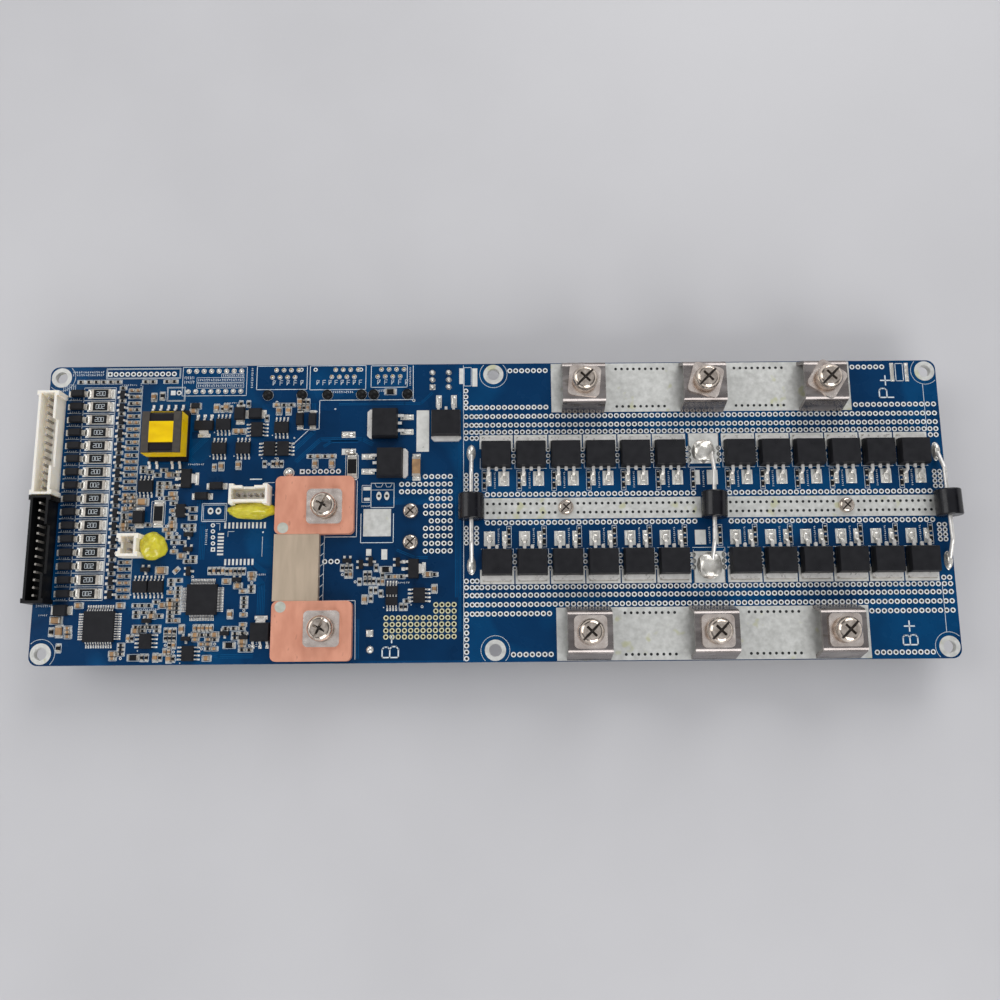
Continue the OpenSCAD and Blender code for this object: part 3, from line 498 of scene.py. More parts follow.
@dataclass
class Layer:
    """Copies of master shapes that share one finish and become one piece.

    Places and sizes are in millimetres; base is the height that the layer lies on.
    """

    name: str
    finish: Finish
    slot: Slot
    base: float
    smooth: bool = False
    hanging: bool = False
    copies: dict[Shape, list[Matrix]] = field(default_factory=dict)

    def put(self, shape: Shape, x: float, y: float, w: float, l: float, h: float,
            z: float = 0.0, turn: float = 0.0) -> None:
        """Puts one copy, w by l by h, centred on x, y and turned by degrees.

        Args:
            shape: The master shape.
            x: Place along X.
            y: Place along Y.
            w: Size along X before the turn.
            l: Size along Y before the turn.
            h: Size upwards, or downwards on a hanging layer.
            z: Gap between the layer's base and the copy.
            turn: Degrees about Z.
        """
        way = -1 if self.hanging else 1
        place = Matrix.Translation((x * MM, y * MM, (self.base + way * z) * MM))
        spin = Matrix.Rotation(math.radians(turn), 4, "Z")
        tip = Matrix.Rotation(math.pi if self.hanging else 0.0, 4, "X")
        size = Matrix.Diagonal((w * MM, l * MM, h * MM, 1))
        self.copies.setdefault(shape, []).append(place @ spin @ tip @ size)

    def span(self, x0: float, y0: float, x1: float, y1: float, h: float) -> None:
        """Puts a block that fills a rectangle."""
        self.put(BLOCK, (x0 + x1) / 2, (y0 + y1) / 2, abs(x1 - x0), abs(y1 - y0), h)

    def stroke(self, a: Point, b: Point, width: float = 0.18, h: float = PRINT) -> None:
        """Puts a straight line.

        Args:
            a: Where it starts.
            b: Where it ends.
            width: Its width.
            h: Its height.
        """
        long, turn = math.dist(a, b), math.degrees(math.atan2(b[1] - a[1], b[0] - a[0]))
        self.put(BLOCK, (a[0] + b[0]) / 2, (a[1] + b[1]) / 2, long + width, width, h,
                 turn=turn)

    def path(self, points: Sequence[Point], width: float = 0.18, closed: bool = False) -> None:
        """Puts a line through several points, and back to the first if it is closed."""
        for a, b in zip(points, [*points[1:], *points[:closed]]):
            self.stroke(a, b, width)

    def frame(self, x0: float, y0: float, x1: float, y1: float, width: float = 0.18) -> None:
        """Puts the outline of a rectangle."""
        self.path([(x0, y0), (x1, y0), (x1, y1), (x0, y1)], width, True)

    def circle(self, x: float, y: float, radius: float, width: float = 0.16) -> None:
        """Puts a circle in short straight lines, leaving out what is off the board.

        Args:
            x: Its middle along X.
            y: Its middle along Y.
            radius: Its radius.
            width: The line's width.
        """
        points = [spot(x, y, 9 * k, radius, 0) for k in range(41)]
        for a, b in zip(points, points[1:]):
            if max(abs(a[0]), abs(b[0])) < EDGE[0] and max(abs(a[1]), abs(b[1])) < EDGE[1]:
                self.stroke(a, b, width)

    def build(self) -> bpy.types.Object:
        """Joins all the copies into one piece, a tray of them at a time.

        Returns:
            The piece.
        """
        bm = bmesh.new()
        for shape, places in self.copies.items():
            for first in range(0, len(places), TRAY):
                tray = self.tray(shape.mesh(), places[first:first + TRAY])
                bm.from_mesh(tray)
                bpy.data.meshes.remove(tray)
        return publish(bm, self.name, self.finish, self.smooth)

    def tray(self, master: bpy.types.Mesh, places: list[Matrix]) -> bpy.types.Mesh:
        """Copies the master to each place.

        Args:
            master: The mesh to copy.
            places: Where each copy goes, and its size.

        Returns:
            One mesh that holds them all.
        """
        bm = bmesh.new()
        for _ in places:
            bm.from_mesh(master)
        verts, count = bm.verts[:], len(master.vertices)
        for k, place in enumerate(places):
            bmesh.ops.transform(bm, matrix=place, verts=verts[k * count:(k + 1) * count])
        mesh = bpy.data.meshes.new("tray")
        bm.to_mesh(mesh)
        bm.free()
        return mesh


def spot(x: float, y: float, turn: float, u: float, v: float) -> Point:
    """Turns a place on a part into a place on the board.

    Args:
        x: The part's place along X.
        y: The part's place along Y.
        turn: Degrees that the part is turned about Z.
        u: Millimetres along the part.
        v: Millimetres across the part.

    Returns:
        The place along X and Y.
    """
    cos, sin = math.cos(math.radians(turn)), math.sin(math.radians(turn))
    return x + u * cos - v * sin, y + u * sin + v * cos


def centred(count: int, pitch: float) -> list[float]:
    """Returns count places, a pitch apart and centred on 0."""
    return [(k - (count - 1) / 2) * pitch for k in range(count)]


@dataclass(frozen=True)
class Body:
    """The box of one solid of the frame, in millimetres."""

    low: Vector
    high: Vector

    @property
    def x(self) -> float:
        """The middle along X."""
        return (self.low.x + self.high.x) / 2

    @property
    def y(self) -> float:
        """The middle along Y."""
        return (self.low.y + self.high.y) / 2

    @property
    def size(self) -> Point:
        """The size along X and Y."""
        return self.high.x - self.low.x, self.high.y - self.low.y

    @property
    def top(self) -> float:
        """The height above the board."""
        return self.high.z - BOARD_TOP

    @property
    def turn(self) -> float:
        """Degrees about Z from X to the long side."""
        return 0.0 if self.size[0] >= self.size[1] else 90.0

    def at(self, u: float, v: float = 0.0) -> Point:
        """The place u along the long side and v across it."""
        return spot(self.x, self.y, self.turn, u, v)


def islands(*nodes: str) -> list[Body]:
    """Measures the separate solids of some frame nodes.

    Args:
        nodes: The nodes' names.

    Returns:
        The solids' boxes, node by node.
    """
    bodies: list[Body] = []
    for node in nodes:
        bm = bmesh.new()
        bm.from_mesh(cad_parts[node].data)
        bmesh.ops.remove_doubles(bm, verts=bm.verts, dist=1e-6)
        seen: set[int] = set()
        for seed in bm.verts:
            if seed.index in seen:
                continue
            stack, group = [seed], []
            seen.add(seed.index)
            while stack:
                vert = stack.pop()
                group.append(vert.co / MM)
                near = [e.other_vert(vert) for e in vert.link_edges]
                fresh = [v for v in near if v.index not in seen]
                seen.update(v.index for v in fresh)
                stack += fresh
            bodies.append(Body(Vector(map(min, *group)), Vector(map(max, *group))))
        bm.free()
    return bodies


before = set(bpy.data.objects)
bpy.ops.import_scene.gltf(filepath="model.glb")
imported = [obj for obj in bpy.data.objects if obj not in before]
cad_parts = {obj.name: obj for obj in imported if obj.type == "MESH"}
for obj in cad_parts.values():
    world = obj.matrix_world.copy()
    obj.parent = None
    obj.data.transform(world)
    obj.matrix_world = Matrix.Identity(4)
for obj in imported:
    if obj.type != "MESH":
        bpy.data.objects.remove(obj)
CAD_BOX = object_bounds()
SINK_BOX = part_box("heatsink")
BOARD_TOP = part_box("circuit_board")[1][2] / MM
# How far ink may reach along X and Y, which leaves a bare rim of 0.3 mm.
EDGE = [c / MM - 0.3 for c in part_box("circuit_board")[1][:2]]


# ---------------------------------------------------------------- board print

# Strokes of the plain figures and polarity signs, on a grid 4 wide and 6 high.
GLYPHS: dict[str, tuple[tuple[Point, ...], ...]] = {
    "0": (((0, 0), (4, 0), (4, 6), (0, 6), (0, 0)),),
    "2": (((0, 6), (4, 6), (4, 3), (0, 3), (0, 0), (4, 0)),),
    "P": (((0, 0), (0, 6), (3.2, 6), (4, 5.2), (4, 3.6), (3.2, 2.8), (0, 2.8)),),
    "B": (((0, 0), (0, 6), (3, 6), (3.8, 5.3), (3.8, 3.9), (3, 3.2), (0, 3.2)),
          ((3, 3.2), (4, 2.5), (4, 0.8), (3, 0), (0, 0))),
    "+": (((0, 3), (4, 3)), ((2, 1), (2, 5))),
    "-": (((0.4, 3), (3.6, 3)),),
}


@dataclass
class BoardPrint:
    """Layers that every part of the board shares: ink, tin, rings and solder."""

    layers: dict[str, Layer] = field(default_factory=lambda: {
        key: Layer(name, finish, slot, 0.0 if key.startswith("low_") else
                   BOARD_TOP + (INK_LIFT if key == "silk" else 0.0),
                   "solder" in key, key.startswith("low_"))
        for key, name, finish, slot in (
            ("track", "masked_tracks", MASK_TRACK, Slot.BOARD),
            ("bare", "masked_fields", MASK_FIELD, Slot.BOARD),
            ("silk", "legend", SILK, Slot.BOARD),
            ("bus", "tinned_strips", BUS_TIN, Slot.TIN),
            ("pads", "tinned_pads", PAD_TIN, Slot.TIN),
            ("rings", "plated_rings", RING_TIN, Slot.TIN),
            ("fluxed", "fluxed_rings", FLUXED_TIN, Slot.TIN),
            # dark discs of painted shade in the holes, and painted shadow strips along the power
            # packages' fronts
            ("drills", "painted_hole_shade_and_shadow", PAINTED_HOLE_SHADE, Slot.BOARD),
            ("solder", "solder_joints", SOLDER, Slot.TIN),
            ("leads", "chip_leads", LEAD_TIN, Slot.TIN),
            ("ends", "chip_end_caps", END_CAP, Slot.TIN),
            ("black", "small_packages", EPOXY, Slot.EPOXY),
            ("glaze", "chip_resistor_tops", GLAZE, Slot.RESISTOR),
            ("alumina", "chip_resistor_bodies", ALUMINA, Slot.RESISTOR),
            ("tan", "chip_capacitors", TITANATE, Slot.CERAMIC),
            # painted shade in the bottom of the screws' recesses
            ("recess", "recess_shade", RECESS_SHADE, Slot.TIN),
            ("low_rings", "underside_rings", RING_TIN, Slot.TIN),
            ("low_drills", "underside_holes", PAINTED_HOLE_SHADE, Slot.BOARD),
            ("low_solder", "underside_solder", SOLDER, Slot.TIN),
            ("low_silk", "underside_legend", SILK, Slot.BOARD),
            ("low_bus", "underside_strips", BUS_TIN, Slot.TIN),
            ("low_track", "underside_tracks", MASK_TRACK, Slot.BOARD))})

    def __getitem__(self, name: str) -> Layer:
        """Returns a layer by its short name."""
        return self.layers[name]

    def pad(self, x: float, y: float, w: float, l: float, turn: float = 0.0) -> None:
        """Puts one tinned pad, w by l."""
        self["pads"].put(BLOCK, x, y, w, l, PAD, turn=turn)

    def land(self, key: str, shape: Shape, x: float, y: float, w: float, l: float,
             bore: float) -> None:
        """Puts a plated land, w by l, with a dark round bore."""
        self[key].put(shape, x, y, w, l, PAD)
        self["drills"].put(DISC, x, y, bore, bore, 0.06)

    def via(self, x: float, y: float, across: float = 1.7, fluxed: bool = False) -> None:
        """Puts a tinned ring with a dark hole, and its other end where that shows.

        Args:
            x: Place along X.
            y: Place along Y.
            across: The ring's diameter.
            fluxed: Whether flux was left on the ring.
        """
        keys = [("fluxed" if fluxed else "rings", "drills")]
        if x < SINK_BOX[0][0] / MM - 1 or abs(y) > SINK_BOX[1][1] / MM + 0.9:
            keys.append(("low_rings", "low_drills"))
        for ring, hole in keys:
            self[ring].put(RING, x, y, across, across, PAD)
            self[hole].put(DISC, x, y, across * 0.54, across * 0.54, 0.012)

    def row(self, x0: float, x1: float, y: float, count: int, fluxed: bool = False) -> None:
        """Puts a straight row of rings.

        Args:
            x0: Where it starts along X.
            x1: Where it ends along X.
            y: Its place along Y.
            count: How many rings it has.
            fluxed: Whether flux was left on them.
        """
        for off in centred(count, (x1 - x0) / (count - 1)):
            self.via((x0 + x1) / 2 + off, y, fluxed=fluxed)

    def grid(self, xs: Iterable[float], ys: Sequence[float], across: float = 1.7) -> None:
        """Puts a ring at each crossing of some columns and rows."""
        for x, y in product(xs, ys):
            self.via(x, y, across)

    def dots(self, x0: float, x1: float, y: float, count: int) -> None:
        """Puts a row of small open holes in a tinned strip, from x0 to x1."""
        for off in centred(count, (x1 - x0) / (count - 1)):
            self["drills"].put(DISC, (x0 + x1) / 2 + off, y, 0.95, 0.95, 0.02, z=STRIP)

    def sign(self, text: str, x: float, y: float, height: float) -> None:
        """Inks plain figures or polarity signs, turned to read along Y.

        Args:
            text: The figures or signs.
            x: The first one's middle along X.
            y: The first one's middle along Y.
            height: Their height.
        """
        unit = height / 6
        for k, letter in enumerate(text):
            for stroke in GLYPHS[letter]:
                self["silk"].path([spot(x, y, 90, (u - 2 + 5.6 * k) * unit, (v - 3) * unit)
                                   for u, v in stroke], 0.42)

    def marks(self, box: Sequence[float], lines: int = 1) -> None:
        """Fills a rectangle with short ink strokes, as unreadable small legend.

        Args:
            box: X and Y of one corner, then of the opposite corner.
            lines: How many lines of strokes it holds.
        """
        x0, y0, x1, y1 = box
        wide, high = abs(x1 - x0), abs(y1 - y0)
        upright = high > wide
        run, line = (high, wide / lines) if upright else (wide, high / lines)
        count = max(2, round(run / 0.62))
        for n in range(lines):
            for k in range(count):
                u, v = (k + 0.5) * run / count, (n + 0.5) * line
                tall = line * (0.72, 0.5, 0.66, 0.6, 0.74)[(k * 3 + n) % 5]
                shift = (0.26 - 0.13 * (k % 4)) * line
                boxes = [(u, v, tall, 0.15)]
                if (k + n) % 3:
                    boxes.append((u + 0.15, v + shift, 0.14, 0.34))
                for a, b, w, l in boxes:
                    x, y = (b, a) if upright else (a, b)
                    self["silk"].put(BLOCK, min(x0, x1) + x, min(y0, y1) + y, w, l,
                                     PRINT, turn=0.0 if upright else 90.0)

    def build(self) -> None:
        """Makes every layer a piece."""
        for layer in self.layers.values():
            if layer.copies:
                layer.build()


@dataclass
class PowerSection:
    """Strips, rings, device pads and joints of the right two thirds of the board."""

    board: BoardPrint
    pitch: float = 11.55
    first_x: float = 0.75
    devices: int = 13
    bare_device: int = 6

    def build(self) -> None:
        """Puts the strips, the ring rows and every device's site."""
        self.strips()
        for side in (1, -1):
            self.ring_rows(side)
            for k in range(self.devices):
                self.site(self.first_x + k * self.pitch, side, k == self.bare_device)
        p = self.board
        p.grid((-9.35,), (40.45, 38.4, 36.4))
        p.grid((-9.27,), [-36.55 - 2.04 * k for k in range(7)])
        for row in ((5.6, 17.6, 47.45, 7), (121.8, 131.9, 47.8, 6),
                    (5.8, 17.9, -47.65, 7), (122.7, 140.7, -47.9, 10)):
            p.row(*row)
        self.end_marks()
        self.wire_joints()

    def strips(self) -> None:
        """Puts the tinned strips with their small holes, above and below."""
        for box in ((19.5, 32.75, 120.6, 49.75), (19.8, -49.75, 120.9, -32.75),
                    (-3.3, -3.5, 68.3, 3.45), (72.5, -3.5, 146.6, 3.45)):
            self.board["bus"].span(*box, STRIP)
        for side in (1, -1):
            self.board["low_bus"].span(19.8, side * 36, 120.6, side * 49.7, STRIP)
            for x in (30, 70, 110):
                self.board["low_solder"].put(PILLOW, x, side * 42, 13, 9, 0.7)
        for first, ys in ((41.5, (47.75, 34.6)), (42.0, (-34.6, -47.9))):
            for y in ys:
                for x in (first, first + 40.2):
                    self.board.dots(x, x + 16.1, y, 9)
        for y in (1.55, -1.45):
            for x0, x1, count in ((-2.3, 20.1, 12), (27.6, 65.8, 20), (78.0, 112.1, 18),
                                  (120.3, 144.3, 13)):
                self.board.dots(x0, x1, y, count)

    def ring_rows(self, side: int) -> None:
        """Puts the rows of plated rings of one half.

        Args:
            side: 1 for the upper half, -1 for the lower.
        """
        p = self.board
        p.grid((-9.3, -7.4, -5.8), [side * 34.6])
        p.row(-4.3, 17.6, side * 34.6, 12)
        p.row(122.0, 148.3, side * 34.6, 14)
        for y in (31.45, 28.45, 26.0) if side > 0 else (-31.6, -28.6, -26.0):
            p.grid((-9.3, -7.4, -5.8), [y])
            p.row(-4.3, 148.3, y, 78)
        p.row(-2.3, 66.0, side * 4.75, 35)
        p.row(78.0, 144.4, side * 4.8, 34)
        for xs, ys, across in (
                ((-9.3, -7.3, -5.8, 146.3, 148.2), (23.95,), 1.7),
                ((-9.3, -5.9, 146.4, 148.2), (11.35, 9.8, 8.2, 6.5), 1.6),
                ((65.0, 75.1, 77.0), (19.95, 17.9, 15.85), 1.6)):
            p.grid(xs, [side * y for y in ys], across)

    def site(self, x: float, side: int, bare: bool) -> None:
        """Puts the pads, ink and joints of one power device.

        Args:
            x: The device's place along X.
            side: 1 for the upper row, -1 for the lower, which is turned half round.
            bare: Whether the device is left out there.
        """
        p = self.board

        def at(dx: float, y: float) -> Point:
            """Place beside the device."""
            return x + side * dx, side * y

        pad_w = self.pitch - 0.45
        if bare:
            p.pad(*at(0, 19.9), pad_w - 0.9, 10.3)
            for dx in (-5.0, 5.0):
                p["silk"].stroke(at(dx, 14.3), at(dx, 25.0), 0.16)
        else:
            p.pad(*at(0, 22.6), pad_w, 4.7)
            p.pad(*at(0, 18.4), pad_w - 2.6, 4.0)
            p["ends"].put(BLOCK, *at(0, 24.0), 9.4, 0.35, 0.5)
            for dx in (-2.54, 0, 2.54):
                p["leads"].put(PILLOW, *at(dx, 13.0), 1.15, 1.0, 0.75, z=1.45)
            # A dark strip along the body's front: a painted shadow under the moulding's edge.
            p["drills"].put(BLOCK, *at(0, 13.75), 9.0, 0.6, 0.04)
            p.grid((x + self.pitch / 2,), [side * y for y in (19.8, 17.8, 15.8)], 1.5)
        for dx, w in ((-2.6, 1.75), (2.45, 3.55)):
            p.pad(*at(dx, 10.05), w, 4.85)
            if not bare:
                p["solder"].put(PILLOW, *at(dx, 10.2), min(w, 1.5), 2.5, 0.66)
                p["solder"].put(PILLOW, *at(dx, 9.3), w * 0.7, 3.2, 0.24)
        p["silk"].stroke(at(-5.0, 13.45), at(5.2, 13.45), 0.16)
        p["silk"].stroke(at(-5.35, 13.45), at(-5.35, 17.0), 0.14)
        p["silk"].frame(*at(-4.75, 12.9), *at(-3.25, 5.9), 0.13)
        p.marks((*at(-0.95, 12.3), *at(-0.15, 6.6)))
        gate_x, gate_y = at(-4.0, 9.4)
        for dy in (-1.7, 1.7):
            p["glaze"].put(BLOCK, gate_x, gate_y + dy, 0.95, 1.7, 0.45)
            for end in (-0.95, 0.95):
                p["ends"].put(PILLOW, gate_x, gate_y + dy + end, 0.9, 0.42, 0.5)

    def end_marks(self) -> None:
        """Puts the polarity signs, the bridge pads and the long lines of ink."""
        p = self.board
        silk = p["silk"]
        p.sign("P+", 132.7, 38.6, 4.7)
        p.sign("B+", 133.7, -44.0, 4.7)
        for x, y0, y1 in ((-10.15, -49.4, 49.4), (145.2, 41.6, 25.5), (145.6, -26.2, -41.7)):
            silk.stroke((x, y0), (x, y1), 0.16)
        for x in (135.2, 140.1):
            p.pad(x, 45.85, 1.3, 6.5)
            p["solder"].put(PILLOW, x, 45.85, 1.1, 6.1, 0.3)
        p.pad(-10.9, 45.7, 1.3, 5.5)
        p.pad(-6.3, 45.2, 1.7, 6.4)
        silk.frame(136.4, 42.8, 138.9, 48.9, 0.2)
        silk.frame(-9.9, 42.2, -7.5, 48.7, 0.16)
        for side in (1, -1):
            for x in (-3.3, 27.0, 77.6, 119.7):
                silk.stroke((x, side * 3.95), (x + 1.2, side * 3.95), 0.14)

    def wire_joints(self) -> None:
        """Puts solder over the feet of the surge diodes' wires."""
        solder = self.board["solder"]
        for x, y, w, l in ((-7.6, 18.9, 3.1, 5.6), (-7.6, -18.9, 3.0, 6.0),
                           (147.4, 18.2, 2.8, 6.4), (148.2, -18.4, 2.7, 6.2)):
            solder.put(DOME, x, y, w, l, 1.9)
        for x, y, w, l in ((69.8, 18.9, 6.4, 6.6), (70.2, -19.4, 6.9, 7.4)):
            solder.put(DOME, x, y, w * 1.25, l * 1.25, 2.1)
            solder.put(PILLOW, x, y, w, l, 1.5)


# ---------------------------------------------------------------- small parts


class Chip(Enum):
    """Small parts by kind: length, width and height in millimetres."""

    RESISTOR = (1.6, 0.85, 0.45)
    WIDE_RESISTOR = (2.1, 1.25, 0.5)
    LONG_RESISTOR = (3.2, 1.6, 0.55)
    CAPACITOR = (1.6, 0.9, 0.85)
    WIDE_CAPACITOR = (2.1, 1.4, 1.15)
    LONG_CAPACITOR = (3.3, 2.0, 1.3)
    DIODE = (2.7, 1.6, 1.15)
    TRANSISTOR = (2.9, 1.35, 1.1)
    TALL_BLOCK = (4.3, 2.9, 1.7)


# Chips placed one by one: x, y and turn, by kind.
SINGLES: dict[Chip, tuple[tuple[float, float, float], ...]] = {
    Chip.WIDE_CAPACITOR: ((-114.5, 39.1, 90), (-100.8, 34.1, 0), (-93.2, 35.1, 90),
        (-89.9, 35.3, 90), (-86.2, 27, 0), (-84.3, 27, 0), (-90.8, 15, 90), (-85.1, 15.4, 90),
        (-106.4, 5.7, 0), (-134.9, -30.8, 0), (-121.4, -30.9, 0), (-101.2, -38.6, 90),
        (-92.7, -48, 0), (-85.8, -34, 90), (-87.4, -23.3, 0), (-83.6, -24.8, 0),
        (-59.6, 15.6, 90), (-54, 15.6, 90), (-72.2, 34, 90), (-69, 34, 90), (-19.7, -26.3, 90)),
    Chip.WIDE_RESISTOR: ((-111.7, 39.5, 90), (-99.5, 0.6, 0), (-99.5, -2.2, 0),
        (-143.2, -39.2, 90), (-140.5, -44.4, 90)),
    Chip.DIODE: ((-100.2, 35.9, 0),),
    Chip.RESISTOR: ((-91.2, 34.8, 90), (-88.5, 34.8, 90), (-114, -4.5, 0), (-139.5, 44.6, 0),
        (-136.8, 44.6, 0), (-134.3, 44.6, 0), (-131.8, 44.6, 0), (-129.4, 44.6, 0),
        (-126.9, 44.6, 0), (-117.6, 44.6, 0), (-115.1, 44.6, 0), (-110.4, 44.6, 0),
        (-107.9, 44.6, 0)),
    Chip.CAPACITOR: ((-93.1, 14.7, 90), (-103.9, -19.6, 45), (-137.9, -38, 0),
        (-137.8, -39.3, 0), (-137.7, -40.7, 0), (-96.9, -38.4, 90), (-95.5, -38.4, 90),
        (-94.3, -38.4, 90), (-92.9, -38.4, 90), (-91.7, -38.4, 90)),
    Chip.LONG_CAPACITOR: ((-116.3, 3.2, 0), (-108.7, -19.6, 0), (-141.9, -35.5, 0),
        (-140.6, -39, 90)),
    Chip.TALL_BLOCK: ((-103.2, 0, 90),),
    Chip.TRANSISTOR: ((-31.6, -17.5, 90), (-48.2, -16.9, 0), (-40.5, -17.3, 90),
        (-43.6, -18.2, 90), (-100.4, -7.8, 0), (-100.4, -12.7, 0), (-99.8, -19.9, 90),
        (-113.9, -19.3, 0), (-112.5, -35.9, 0), (-99.6, -41.7, 0), (-84, -22.8, 0),
        (-87.2, -40.1, 0), (-81, -41.4, 0)),
    Chip.LONG_RESISTOR: ((-116.2, -47.6, 0), (-85.6, -43.9, 0), (-35.6, -19.9, 0),
        (-34.8, 40.4, 0)),
}

# Packed fields of chips: low x, low y, high x, high y and the chips' turn.
FIELDS: tuple[tuple[float, float, float, float, float], ...] = (
    (-117.8, 12.9, -115.4, 16.5, 0), (-112.8, 11.4, -104.8, 14.7, 0),
    (-118.3, 12.7, -113.1, 13.8, 0), (-112, 3.7, -104.6, 10, 0), (-123.2, -6.7, -118, 5.4, 0),
    (-109, -6.8, -105, 3.3, 0), (-108.1, -9.3, -98.2, -4.3, 0), (-106.3, -15.6, -101.2, -9.7, 0),
    (-101.7, -22.3, -97.5, -14.8, 0), (-106.6, -29.9, -101.7, -22.2, 0),
    (-106.2, -36.5, -102, -29.9, 0), (-117.6, -31.5, -106.6, -29.3, 0),
    (-117.4, -35, -107.3, -32.6, 0), (-117.1, -39.7, -108, -37.3, 0),
    (-122, -48.5, -118.8, -42.9, 0), (-124.1, -48.5, -121.6, -45.7, 0),
    (-118.8, -42.9, -116.5, -40.1, 90), (-114.2, -49.1, -107, -46.2, 90),
    (-106.9, -49.1, -102.8, -38.3, 90), (-97.6, -45.7, -89.3, -39.8, 0),
    (-93.7, -21.4, -88, -18.3, 90), (-88.1, -21.5, -81.3, -18.6, 90),
    (-88.2, -39.5, -80.6, -37.6, 0), (-85.3, -42.3, -82.4, -39.5, 0), (-88, -46, -86.9, -43.2, 90),
    (-80.6, 30.5, -75.5, 34.1, 90), (-65.9, 33.9, -61.9, 38, 90), (-74.3, 35.5, -66.8, 37.6, 0),
    (-85.7, 29.5, -81.9, 37.5, 90), (-77.1, 24.8, -68.5, 26.7, 0), (-77.1, 14.8, -70.1, 18.4, 90),
    (-62.4, 17.7, -52.6, 19.7, 0), (-35.1, -32.9, -23, -31.2, 90),
    (-42.9, -24.7, -38.8, -20.4, 90), (-41.1, -30.7, -38, -25.2, 90),
    (-43.2, -31.1, -41.5, -28, 90), (-50.4, -22.5, -46.4, -16, 90),
    (-83.3, -27.2, -77.8, -20.5, 0), (-83, -34.8, -79.8, -28.2, 0), (-82.6, -46.1, -78, -36.7, 0),
    (-46.2, -21.8, -43, -19.3, 0), (-42.4, -20.2, -38, -18.4, 90), (-38.4, -24.8, -36, -20.8, 90),
    (-35.6, -23.1, -29.4, -21.4, 0), (-38, -28.6, -36.2, -25, 90), (-27.4, -22.4, -18.6, -20.8, 0),
    (-32.4, -30.9, -22.4, -29.5, 0), (-46.2, -25.2, -43.4, -22.4, 90),
)
RESISTORS = (Chip.RESISTOR, Chip.WIDE_RESISTOR, Chip.LONG_RESISTOR)
CAPACITORS = (Chip.CAPACITOR, Chip.WIDE_CAPACITOR, Chip.LONG_CAPACITOR)


